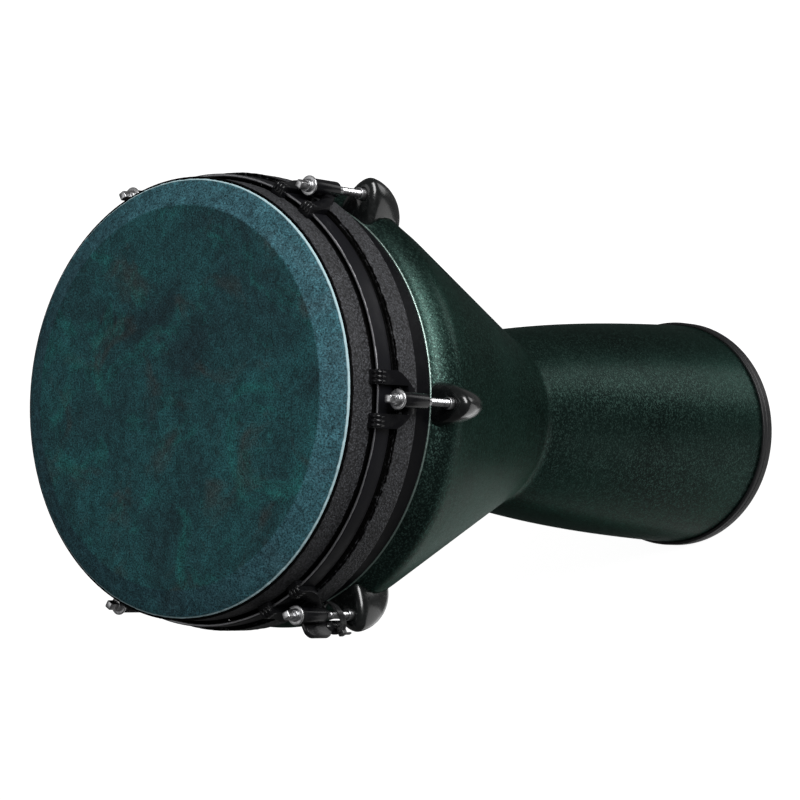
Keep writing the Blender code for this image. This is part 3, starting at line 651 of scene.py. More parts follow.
@dataclass(frozen=True)
class SatinBlack(Finish):
    """Satin black coat on steel or moulded parts, with a fine orange-peel and faint rubbed patches."""

    black: Colour = (0.010, 0.010, 0.011)
    rubbed: Colour = (0.030, 0.030, 0.032)
    gloss: Point = (0.30, 0.44)
    shine: float = 0.5
    peel_per_metre: float = 900.0

    def mix(self, wires: Wiring, shader: bpy.types.Node, place: bpy.types.NodeSocket) -> None:
        """Mix in the rubbed patches and roughen the surface a little."""
        patch = self.noise(wires, place, 70.0, 5.0, 0.65)
        peel = self.noise(wires, place, self.peel_per_metre, 2.0, 0.5)
        wires.join(self.blend(wires, self.span(wires, patch, 0.45, 0.75), self.black, self.rubbed),
                   shader.inputs["Base Color"])
        wires.join(self.span(wires, patch, 0.3, 0.7, *self.gloss), shader.inputs["Roughness"])
        shader.inputs["Specular IOR Level"].default_value = self.shine
        self.bump(wires, shader, peel, 0.00008, 0.35)


@dataclass(frozen=True)
class HighlightedHoop(Finish):
    """Satin black paint on the steel hoop, with a painted highlight: bright metal painted along its top
    edge.
    """

    black: Colour = (0.007, 0.007, 0.009)
    # Colour of the painted highlight along the top edge.
    painted_highlight: Colour = (0.50, 0.50, 0.52)
    edge_drop: float = 22.0
    edge_width: float = 0.42
    # Depth, in millimetres, of the noise that breaks up the painted highlight's border.
    highlight_breakup: float = 1.2
    gloss: Point = (0.34, 0.50)

    def mix(self, wires: Wiring, shader: bpy.types.Node, place: bpy.types.NodeSocket) -> None:
        """Paint a bright metallic highlight where the height is near the top edge, broken up by noise."""
        # Painted highlight: bright metal painted along the hoop's top edge, its border broken up by noise.
        swing = wires.math("SUBTRACT", self.noise(wires, place, 60.0, 5.0, 0.7), 0.5)
        breakup = wires.math("MULTIPLY", swing, self.highlight_breakup * MM)
        level = wires.math("ADD", self.level(wires, place), breakup)
        top = height(self.edge_drop)
        painted_highlight = self.span(wires, level, (top - self.edge_width) * MM, (top - 0.5 * self.edge_width) * MM)
        wires.join(self.blend(wires, painted_highlight, self.black, self.painted_highlight), shader.inputs["Base Color"])
        wires.join(painted_highlight, shader.inputs["Metallic"])
        patch = self.noise(wires, place, 85.0, 5.0, 0.65)
        wires.join(self.span(wires, patch, 0.3, 0.7, *self.gloss), shader.inputs["Roughness"])
        shader.inputs["Specular IOR Level"].default_value = 0.14
        self.bump(wires, shader, self.noise(wires, place, 700.0, 2.0), 0.00006, 0.35)


@dataclass(frozen=True)
class GlossBlack(Finish):
    """Deep gloss black lacquer on the lug casings, with a trace of dust and swirl."""

    black: Colour = (0.006, 0.007, 0.007)
    dust: Colour = (0.022, 0.024, 0.024)
    gloss: Point = (0.18, 0.30)

    def mix(self, wires: Wiring, shader: bpy.types.Node, place: bpy.types.NodeSocket) -> None:
        """Dust lifts the colour a little and swirl varies the roughness."""
        swirl = self.noise(wires, place, 130.0, 5.0, 0.7, 1.5)
        wires.join(self.blend(wires, self.span(wires, swirl, 0.5, 0.8), self.black, self.dust),
                   shader.inputs["Base Color"])
        wires.join(self.span(wires, swirl, 0.3, 0.7, *self.gloss), shader.inputs["Roughness"])
        shader.inputs["Coat Weight"].default_value = 0.6
        shader.inputs["Coat Roughness"].default_value = 0.12
        self.bump(wires, shader, self.noise(wires, place, 420.0, 2.0), 0.00003, 0.25)


@dataclass(frozen=True)
class BrightSteel(Finish):
    """Bright plated steel with fine turning marks and slight tarnish."""

    bright: Colour = (0.64, 0.64, 0.65)
    tarnish: Colour = (0.30, 0.30, 0.31)
    gloss: Point = (0.22, 0.40)

    def mix(self, wires: Wiring, shader: bpy.types.Node, place: bpy.types.NodeSocket) -> None:
        """Turning marks lie across the rod's axis, because the noise is stretched round it."""
        drawn = wires.vector("MULTIPLY", place, (0.25, 0.25, 5.0))
        marks = self.noise(wires, drawn, 520.0, 3.0, 0.7)
        stain = self.noise(wires, place, 260.0, 4.0, 0.6)
        wires.join(self.blend(wires, self.span(wires, stain, 0.48, 0.72), self.bright, self.tarnish),
                   shader.inputs["Base Color"])
        wires.join(self.span(wires, marks, 0.3, 0.7, *self.gloss), shader.inputs["Roughness"])
        shader.inputs["Metallic"].default_value = 1.0
        self.bump(wires, shader, marks, 0.00003, 0.3)


@dataclass(frozen=True)
class FootRubber(Finish):
    """Black rubber with a fine matt tooth and scuffs where it meets the ground."""

    black: Colour = (0.010, 0.010, 0.011)
    scuff: Colour = (0.055, 0.054, 0.052)
    scuff_height: float = 7.0
    gloss: Point = (0.40, 0.58)

    def mix(self, wires: Wiring, shader: bpy.types.Node, place: bpy.types.NodeSocket) -> None:
        """Scuffs gather near the bottom edge."""
        low = self.span(wires, self.level(wires, place), 0.0, self.scuff_height * MM, 1.0, 0.0)
        marks = self.span(wires, self.noise(wires, place, 160.0, 6.0, 0.75), 0.48, 0.68)
        wires.join(self.blend(wires, wires.math("MULTIPLY", low, marks), self.black, self.scuff),
                   shader.inputs["Base Color"])
        tooth = self.noise(wires, place, 1400.0, 2.0)
        wires.join(self.span(wires, tooth, 0.3, 0.7, *self.gloss), shader.inputs["Roughness"])
        self.bump(wires, shader, tooth, 0.0001, 0.4)


@dataclass
class Palette:
    """Every finish of the drum, each made once."""

    shell: Finish = SparklePaint("shell_sparkle", "shell_green")
    film: Finish = SkinFilm("head_skin", "head_film")
    # The collar is painted as shade in a thin line just under the film's edge and behind the counterhoop.
    collar: Finish = PebbledWrap("pebbled_collar", "collar_black")
    # The flesh hoop's wrap is painted as shade in its groove under the counterhoop and on its underside.
    wrap: Finish = PebbledWrap("pebbled_hoop", "collar_black", unshaded_drops=(40.7, 59.0))
    rim: Finish = SatinBlack("rim_satin", "rim_black", black=(0.003, 0.003, 0.004),
                             rubbed=(0.008, 0.008, 0.009), gloss=(0.42, 0.58), shine=0.07)
    # The hoop's finish paints a bright highlight along its top edge.
    hoop: Finish = HighlightedHoop("hoop_satin_painted_highlight", "hoop_black")
    claw: Finish = SatinBlack("claw_satin", "claw_black", black=(0.005, 0.005, 0.006),
                              rubbed=(0.014, 0.014, 0.015), gloss=(0.15, 0.27), shine=0.30)
    key: Finish = SatinBlack("key_satin", "key_black", gloss=(0.16, 0.30))
    tie: Finish = SatinBlack("tie_nylon", "tie_nylon", black=(0.018, 0.018, 0.019),
                             rubbed=(0.050, 0.050, 0.052), gloss=(0.18, 0.30), shine=0.7)
    lug: Finish = GlossBlack("lug_gloss", "lug_black")
    rod: Finish = BrightSteel("rod_steel_bright", "rod_steel")
    nut: Finish = BrightSteel("nut_steel_dull", "nut_steel", tarnish=(0.30, 0.30, 0.31), gloss=(0.24, 0.42))
    foot: Finish = FootRubber("foot_rubber_scuffed", "foot_rubber")
    made: dict[str, bpy.types.Material] = field(default_factory=dict)

    def material(self, finish: Finish) -> bpy.types.Material:
        """Return the finish's material, making it the first time."""
        if finish.name not in self.made:
            self.made[finish.name] = finish.make()
        return self.made[finish.name]


# ---------------------------------------------------------------------------------------------------
# Mesh work
# ---------------------------------------------------------------------------------------------------


class Workshop:
    """The rules and finishes that every sub-assembly shares, and the calls that finish a piece."""

    def __init__(self) -> None:
        """Make each rule once."""
        self.palette = Palette()
        self.turned = TurnedRule()
        self.thread = ThreadRule()
        self.stations = StationRule()
        self.strap = StrapRule()

    def turn(self, name: str, outline: Iterable[Point], finish: Finish, steps: int = 240,
             closed: bool = True, wobble: float = 0.0, swell: float = 20.0, seed: float = 0.0
             ) -> bpy.types.Mesh:
        """Turn an outline round the axis.

        Args:
            name: Name of the mesh.
            outline: Points as (radius, height), in millimetres.
            finish: Finish of the piece.
            steps: Number of facets round the axis.
            closed: True where the outline comes back to its start, False where it ends on the axis.
            wobble: How far the surface swells in and out, in millimetres.
            swell: Length of those swells, in millimetres.
            seed: Picks the swells.

        Returns:
            The turned mesh.
        """
        points = [(radius * MM, 0.0, level * MM) for radius, level in outline]
        if closed:
            points.append(points[0])
        profile = bpy.data.meshes.new(name + "_profile")
        profile.from_pydata(points, [(i, i + 1) for i in range(len(points) - 1)], [])
        material = self.palette.material(finish)
        mesh = self.turned.apply(name, profile, material, Steps=steps, Wobble=wobble * MM,
                                 Swell=swell * MM, Seed=seed)
        return outwards(mesh)

    def at_stations(self, name: str, pattern: bpy.types.Mesh, finish: Finish) -> bpy.types.Mesh:
        """Return the pattern, modelled at +X, repeated at every station."""
        return self.stations.apply(name, pattern, self.palette.material(finish), Stations=STATIONS,
                                   First_Azimuth=FIRST_AZIMUTH)

    def deliver(self, name: str, mesh: bpy.types.Mesh, finish: Finish, body: str,
                replaced: Sequence[str], crease: Crease = Crease.PLAIN) -> bpy.types.Object:
        """Shade a finished mesh, put it on its body and hide what it stands for.

        Args:
            name: Name of the piece.
            mesh: Its mesh, in place.
            finish: Its finish.
            body: Name of the body it rides on.
            replaced: CAD nodes that it stands for.
            crease: Angle past which its edges stay sharp.

        Returns:
            The new object.
        """
        material = self.palette.material(finish)
        mesh.materials.clear()
        mesh.materials.append(material)
        for face in mesh.polygons:
            face.material_index = 0
        mesh.shade_smooth()
        mesh.set_sharp_from_angle(angle=math.radians(crease.value))
        piece = bpy.data.objects.new(name, mesh)
        bpy.context.scene.collection.objects.link(piece)
        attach(piece, body)
        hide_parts(*replaced)
        LOG.info("%s: %d faces, on %s, for %s", name, len(mesh.polygons), body, ", ".join(replaced))
        return piece


def outwards(mesh: bpy.types.Mesh) -> bpy.types.Mesh:
    """Weld a closed mesh and turn its faces outwards."""
    shape = bmesh.new()
    shape.from_mesh(mesh)
    bmesh.ops.remove_doubles(shape, verts=shape.verts, dist=0.000001)
    bmesh.ops.recalc_face_normals(shape, faces=shape.faces)
    shape.to_mesh(mesh)
    shape.free()
    return mesh


def joined(name: str, meshes: Iterable[bpy.types.Mesh]) -> bpy.types.Mesh:
    """Return one mesh that holds all of these."""
    shape = bmesh.new()
    for mesh in meshes:
        shape.from_mesh(mesh)
    whole = bpy.data.meshes.new(name)
    shape.to_mesh(whole)
    shape.free()
    return whole


def moved(mesh: bpy.types.Mesh, matrix: Matrix) -> bpy.types.Mesh:
    """Return a copy of a mesh moved by a matrix."""
    copy = mesh.copy()
    copy.transform(matrix)
    return copy


def with_modifiers(name: str, mesh: bpy.types.Mesh, steps: Sequence[tuple[str, dict]]) -> bpy.types.Mesh:
    """Apply modifiers to a mesh.

    Args:
        name: Name of the new mesh.
        mesh: The mesh to work on.
        steps: Each modifier's type and the properties to set on it.

    Returns:
        The plain mesh that comes out.
    """
    blank = bpy.data.objects.new(name + "_blank", mesh)
    bpy.context.scene.collection.objects.link(blank)
    for kind, settings in steps:
        modifier = blank.modifiers.new(kind.lower(), kind)
        for label, value in settings.items():
            setattr(modifier, label, value)
    bpy.context.view_layer.update()
    graph = bpy.context.evaluated_depsgraph_get()
    made = bpy.data.meshes.new_from_object(blank.evaluated_get(graph), depsgraph=graph)
    bpy.data.objects.remove(blank, do_unlink=True)
    made.name = name
    return made


def cut(name: str, mesh: bpy.types.Mesh, tool: bpy.types.Mesh, operation: str) -> bpy.types.Mesh:
    """Return a mesh cut by, or joined to, a tool."""
    cutter = bpy.data.objects.new(name + "_tool", tool)
    bpy.context.scene.collection.objects.link(cutter)
    settings = {"operation": operation, "solver": "EXACT", "object": cutter}
    made = with_modifiers(name, mesh, [("BOOLEAN", settings)])
    bpy.data.objects.remove(cutter, do_unlink=True)
    return made


def bevel(width: float, segments: int = 3, angle: float = 35.0) -> tuple[str, dict]:
    """Return a Bevel step for edges sharper than an angle in degrees; the width is in millimetres."""
    return ("BEVEL", {"width": width * MM, "segments": segments, "limit_method": "ANGLE",
                      "angle_limit": math.radians(angle), "harden_normals": False})


def block(name: str, size: Sequence[float], centre: Sequence[float]) -> bpy.types.Mesh:
    """Return a box of this size about this centre, in millimetres, ready for rounding."""
    shape = bmesh.new()
    bmesh.ops.create_cube(shape, size=1.0)
    bmesh.ops.scale(shape, verts=shape.verts, vec=[length * MM for length in size])
    bmesh.ops.translate(shape, verts=shape.verts, vec=[along * MM for along in centre])
    mesh = bpy.data.meshes.new(name)
    shape.to_mesh(mesh)
    shape.free()
    return mesh


def loft(name: str, sections: Sequence[Sequence[Vector]], round_closed: bool = True) -> bpy.types.Mesh:
    """Skin a row of sections that all have the same number of points.

    Args:
        name: Name of the mesh.
        sections: Points of each section, in metres, all in the same order.
        round_closed: True where each section is a closed loop; the two ends are then capped.

    Returns:
        A mesh with its faces outwards.
    """
    shape = bmesh.new()
    rings = [[shape.verts.new(point) for point in section] for section in sections]
    count = len(rings[0])
    sides = count if round_closed else count - 1
    for first, second in zip(rings, rings[1:]):
        for i in range(sides):
            j = (i + 1) % count
            shape.faces.new((first[i], first[j], second[j], second[i]))
    if round_closed:
        shape.faces.new(list(reversed(rings[0])))
        shape.faces.new(rings[-1])
    bmesh.ops.recalc_face_normals(shape, faces=shape.faces)
    mesh = bpy.data.meshes.new(name)
    shape.to_mesh(mesh)
    shape.free()
    return mesh


def arc(centre: Point, radius: float, start: float, end: float, steps: int) -> list[Point]:
    """Return points along an arc; the angles are in degrees from the first axis."""
    points = []
    for step in range(steps + 1):
        angle = math.radians(start + (end - start) * step / steps)
        points.append((centre[0] + radius * math.cos(angle), centre[1] + radius * math.sin(angle)))
    return points


# ---------------------------------------------------------------------------------------------------
# Sub-assemblies
# ---------------------------------------------------------------------------------------------------


@dataclass
class Shell:
    """Goblet shell: lip, rounded shoulder, upper band, cone, waist and bellied pipe, hollow throughout."""

    shop: Workshop
    wall: float = 6.0
    neck_radius: float = 147.0
    neck_top: float = 40.0
    lip_drop: float = 86.0
    lip_radius: float = 151.4
    lip_round: float = 0.8
    ledge: float = 2.0
    shoulder_drop: float = 113.0
    shoulder_bulge: float = 2.4
    shoulder_power: float = 0.8
    break_drop: float = 140.0
    break_radius: float = 146.9
    band_slope: float = 0.374
    waist_drop: float = 329.4
    waist_radius: float = 67.7
    waist_fillet: float = 7.0
    pipe_end_radius: float = 91.4
    pipe_bulge: float = 4.3
    pipe_skew: float = 1.0
    end_z: float = 5.0
    foot_height: float = 12.6
    foot_radius: float = 93.4
    foot_inner: float = 82.5

    def cone_radius(self, drop: float) -> float:
        """Return the outer radius of the straight cone."""
        slope = (self.break_radius - self.waist_radius) / (self.waist_drop - self.break_drop)
        return self.waist_radius + (self.waist_drop - drop) * slope

    def band_radius(self, drop: float) -> float:
        """Return the outer radius of the band between shoulder and crease."""
        return self.break_radius + (self.break_drop - drop) * self.band_slope

    def pipe_radius(self, drop: float) -> float:
        """Return the outer radius of the pipe."""
        along = (drop - self.waist_drop) / (EDGE_Z - self.waist_drop)
        arch = 4.0 * along * (1.0 - along)
        growth = (self.pipe_end_radius - self.waist_radius) * along
        return self.waist_radius + growth + arch * (self.pipe_bulge + self.pipe_skew * (1.0 - 2.0 * along))

    def side(self, inset: float) -> list[Point]:
        """Return the wall's side from below the lip to the end of the pipe, moved in by the inset."""
        growth = self.band_radius(self.shoulder_drop) - self.lip_radius
        points = []
        for step in range(1, 17):
            part = step / 16.0
            drop = self.lip_drop + (self.shoulder_drop - self.lip_drop) * part
            rise = math.sin(part * math.pi / 2.0) ** self.shoulder_power
            bulge = self.shoulder_bulge * math.sin(part * math.pi)
            points.append((self.lip_radius + growth * rise + bulge, drop))
        for drop in (122.0, 131.0, self.break_drop - 1.2):
            points.append((self.band_radius(drop), drop))
        cone_end = self.waist_drop - self.waist_fillet
        for step in range(12):
            drop = self.break_drop + 1.2 + (cone_end - self.break_drop - 1.2) * step / 11.0
            points.append((self.cone_radius(drop), drop))
        start = (self.cone_radius(cone_end), cone_end)
        pipe_start = self.waist_drop + self.waist_fillet
        end = (self.pipe_radius(pipe_start), pipe_start)
        for step in range(1, 8):
            part = step / 8.0
            near, mid, far = (1 - part) ** 2, 2 * part * (1 - part), part ** 2
            points.append((near * start[0] + mid * self.waist_radius + far * end[0],
                           near * start[1] + mid * self.waist_drop + far * end[1]))
        for step in range(25):
            drop = pipe_start + (EDGE_Z - self.end_z - pipe_start) * step / 24.0
            points.append((self.pipe_radius(drop), drop))
        return [(radius - inset, height(drop)) for radius, drop in points]

    def outline(self) -> list[Point]:
        """Return the whole closed outline of the wall."""
        neck_foot = height(self.lip_drop - self.ledge)
        outer = [(self.neck_radius, height(self.neck_top)), (self.neck_radius, neck_foot)]
        corner = (self.lip_radius - self.lip_round, neck_foot - self.lip_round)
        outer += arc(corner, self.lip_round, 90.0, 0.0, 4)
        inner_neck = self.neck_radius - self.wall
        inner = list(reversed(self.side(self.wall)))
        inner += [(inner_neck, height(self.lip_drop)), (inner_neck, height(self.neck_top))]
        return outer + self.side(0.0) + inner

    def envelope(self, clearance: float) -> list[Point]:
        """Return the outside of the rim and shell, moved out by a clearance, closed on the axis."""
        rim = 151.3 + clearance
        top = [(0.0, height(60.0)), (rim, height(60.0)), (rim, height(self.lip_drop - 1.2))]
        side = [(radius + clearance, level) for radius, level in self.side(0.0) if level > height(200.0)]
        return top + side + [(0.0, side[-1][1])]

    def build(self) -> None:
        """Make the shell and its foot ring."""
        palette = self.shop.palette
        mesh = self.shop.turn("shell_body", self.outline(), palette.shell, steps=288)
        self.shop.deliver("shell_body", mesh, palette.shell, Body.DRUM.value, ["shell"], Crease.CRISP)
        self.build_foot()

    def build_foot(self) -> None:
        """Make the rubber ring: rounded rims, a shallow waist line and a bead where it grips the pipe."""
        groove = self.pipe_radius(EDGE_Z - self.foot_height) + 0.35
        seat = self.end_z - 0.3
        radius, top = self.foot_radius, self.foot_height
        outline = [(groove, top - 0.3)]
        outline += arc((groove + 0.7, top - 0.5), 0.5, 160.0, 60.0, 4)
        outline += arc((radius - 1.0, top - 1.0), 1.0, 90.0, 0.0, 5)
        outline += [(radius, 8.4), (radius - 0.35, 8.1), (radius - 0.35, 7.7), (radius, 7.4)]
        outline += arc((radius - 1.6, 1.6), 1.6, 0.0, -90.0, 6)
        outline += arc((self.foot_inner + 1.2, 1.2), 1.2, -90.0, -180.0, 5)
        outline += [(self.foot_inner, seat), (groove, seat)]
        palette = self.shop.palette
        mesh = self.shop.turn("foot_ring_rubber", outline, palette.foot, steps=240)
        self.shop.deliver("foot_ring_rubber", mesh, palette.foot, Body.DRUM.value, ["foot_ring"])


@dataclass
class Head:
    """Film, collar, flesh hoop, counterhoop and the rim they sit on."""

    shop: Workshop
    rise: float = 8.6
    flat_radius: float = 132.5
    film_radius: float = 151.3
    film: float = 0.6
    rim_radius: float = 151.0
    rim_inner: float = 127.5
    rim_crest: float = 131.6
    rim_bottom: float = 83.7
    neck_radius: float = 147.3
    neck_top: float = 39.7
    collar_radius: float = 152.7
    collar_end: float = 46.0
    flesh_radius: float = 160.1
    flesh_inner: float = 153.25
    flesh_drops: Point = (39.6, 59.5)
    flesh_step: float = 36.5
    groove_depth: float = 0.4
    flesh_lip: float = 4.5
    edge_ruffle: float = 0.42
    turned_in: Sequence[Point] = ((151.4, 1.6), (152.0, 0.6), (152.7, 0.4), (153.0, 1.0))
    hoop_radii: Point = (155.0, 157.4)
    hoop_drops: Point = (22.0, 36.0)

    def build(self) -> None:
        """Make the four rings and the film."""
        self.build_rim()
        self.build_film()
        self.build_collar()
        self.build_flesh_hoop()
        self.build_counterhoop()

    def build_rim(self) -> None:
        """Make the black rim: bevelled bearing edge and smooth band down to the shell's lip."""
        crest = EDGE_Z + self.rise - self.film - 0.3
        shoulder = EDGE_Z - self.film - 0.6
        outline = [(self.rim_crest - 0.8, crest), (self.rim_crest, crest - 0.1)]
        outline += arc((self.rim_radius - 1.2, shoulder - 1.0), 1.2, 66.0, 0.0, 5)
        outline += [(self.rim_radius, height(62.0))]
        outline += arc((self.rim_radius - 0.5, height(self.rim_bottom - 0.5)), 0.5, 0.0, -90.0, 3)
        outline += [(self.neck_radius, height(self.rim_bottom)), (self.neck_radius, height(self.neck_top)),
                    (self.neck_radius - 6.0, height(self.neck_top)), (self.rim_inner, crest - 16.0),
                    (self.rim_inner, crest - 1.6), (self.rim_inner + 1.2, crest - 0.3)]
        palette = self.shop.palette
        mesh = self.shop.turn("rim_band", outline, palette.rim, steps=240)
        self.shop.deliver("rim_band", mesh, palette.rim, Body.DRUM.value, ["bearing_ring"])

    def build_film(self) -> None:
        """Make the film: flat, crisp turn-down, straight margin and a slightly uneven cut edge."""
        top = EDGE_Z + self.rise
        outline = [(0.0, top)]
        outline += [(self.flat_radius * part / 12.0, top) for part in range(1, 12)]
        outline += [(self.flat_radius - 0.7, top), (self.flat_radius, top - 0.06)]
        slope = (self.rise - 0.8) / (self.film_radius - self.flat_radius)
        outline += [(self.flat_radius + reach, top - 0.06 - reach * slope)
                    for reach in (0.8, 6.0, 12.0, 17.6)]
        outline += arc((self.film_radius - 0.8, EDGE_Z - 0.1), 0.8, 68.0, -20.0, 6)
        outline += [(self.rim_radius, EDGE_Z - self.film), (self.flat_radius - 0.4, top - self.film),
                    (0.0, top - self.film)]
        palette = self.shop.palette
        mesh = self.shop.turn("film_skin", outline, palette.film, steps=720, closed=False)
        self.ruffle(mesh, self.film_radius - 1.6, self.edge_ruffle)
        self.shop.deliver("film_skin", mesh, palette.film, Body.DRUM.value, ["head_film"], Crease.CRISP)

    @staticmethod
    def ruffle(mesh: bpy.types.Mesh, from_radius: float, amount: float) -> None:
        """Wave the outer edge of a ring a little.

        Args:
            mesh: The ring's mesh.
            from_radius: Points inside this radius, in millimetres, stay put.
            amount: Height of the largest wave, in millimetres.
        """
        waves = ((7.0, 0.22, 0.4), (29.0, 0.20, 4.0), (67.0, 0.24, 2.2), (113.0, 0.20, 0.9),
                 (171.0, 0.14, 3.1))
        for vertex in mesh.vertices:
            radius = math.hypot(vertex.co.x, vertex.co.y) / MM
            if radius <= from_radius:
                continue
            angle = math.atan2(vertex.co.y, vertex.co.x)
            wave = sum(share * math.sin(count * angle + phase) for count, share, phase in waves)
            out = amount * wave * MM / (radius * MM)
            vertex.co.x *= 1.0 + 0.6 * out
            vertex.co.y *= 1.0 + 0.6 * out
            vertex.co.z += amount * wave * MM * 0.7

    def build_collar(self) -> None:
        """Make the pebbled collar, from under the film's edge down behind the counterhoop."""
        top = EDGE_Z - self.film - 0.3
        bottom = height(self.collar_end)
        rows = 44
        outline = [(radius, height(drop)) for radius, drop in self.turned_in]
        inner = self.turned_in[0][0]
        for row in range(rows + 1):
            part = row / rows
            swell = 0.25 * math.sin(math.pi * min(1.0, part * 1.6))
            outline.append((self.collar_radius - 0.35 * (1.0 - part) ** 6 + swell,
                            top - 0.5 + (bottom - top + 0.5) * part))
        outline += [(inner, bottom), (inner, (top + bottom) / 2.0)]
        palette = self.shop.palette
        mesh = self.shop.turn("collar_wrap", outline, palette.collar, steps=720, wobble=0.16, swell=2.6,
                              seed=3.0)
        self.shop.deliver("collar_wrap", mesh, palette.collar, Body.DRUM.value, ["head_collar"],
                          Crease.SOFT)

    def build_flesh_hoop(self) -> None:
        """Make the pebbled flesh hoop with its rounded, uneven rims."""
        top, bottom = (height(drop) for drop in self.flesh_drops)
        groove = top - self.groove_depth
        lip = self.hoop_radii[0] - 0.4
        lip_top = height(self.flesh_step - self.flesh_lip)
        outline = [(lip, lip_top), (lip, height(self.flesh_step)),
                   (self.hoop_radii[0] + 0.6, groove), (self.hoop_radii[1] + 0.4, groove)]
        outline += arc((self.flesh_radius - 1.0, top - 1.5), 1.0, 150.0, 0.0, 6)
        rows = 22
        for row in range(1, rows):
            outline.append((self.flesh_radius, top - 1.5 + (bottom - top + 3.0) * row / rows))
        outline += arc((self.flesh_radius - 1.5, bottom + 1.5), 1.5, 0.0, -90.0, 5)
        outline += [(self.flesh_inner, bottom), (self.flesh_inner, lip_top)]
        palette = self.shop.palette
        mesh = self.shop.turn("flesh_hoop_wrap", outline, palette.wrap, steps=720, wobble=0.36, swell=3.6,
                              seed=8.0)
        self.shop.deliver("flesh_hoop_wrap", mesh, palette.wrap, Body.HOOP.value, ["flesh_hoop"],
                          Crease.SOFT)

    def build_counterhoop(self) -> None:
        """Make the flat steel hoop with its rounded rims."""
        inner, outer = self.hoop_radii
        top, bottom = (height(drop) for drop in self.hoop_drops)
        half = (outer - inner) / 2.0
        outline = arc((inner + half, top - half), half, 180.0, 0.0, 12)
        outline += [(outer, (top + bottom) / 2.0)]
        outline += arc((outer - 0.6, bottom + 0.6), 0.6, 0.0, -90.0, 4)
        outline += arc((inner + 0.6, bottom + 0.6), 0.6, -90.0, -180.0, 4)
        palette = self.shop.palette
        mesh = self.shop.turn("counterhoop_steel", outline, palette.hoop, steps=288)
        self.shop.deliver("counterhoop_steel", mesh, palette.hoop, Body.HOOP.value, ["counterhoop"])


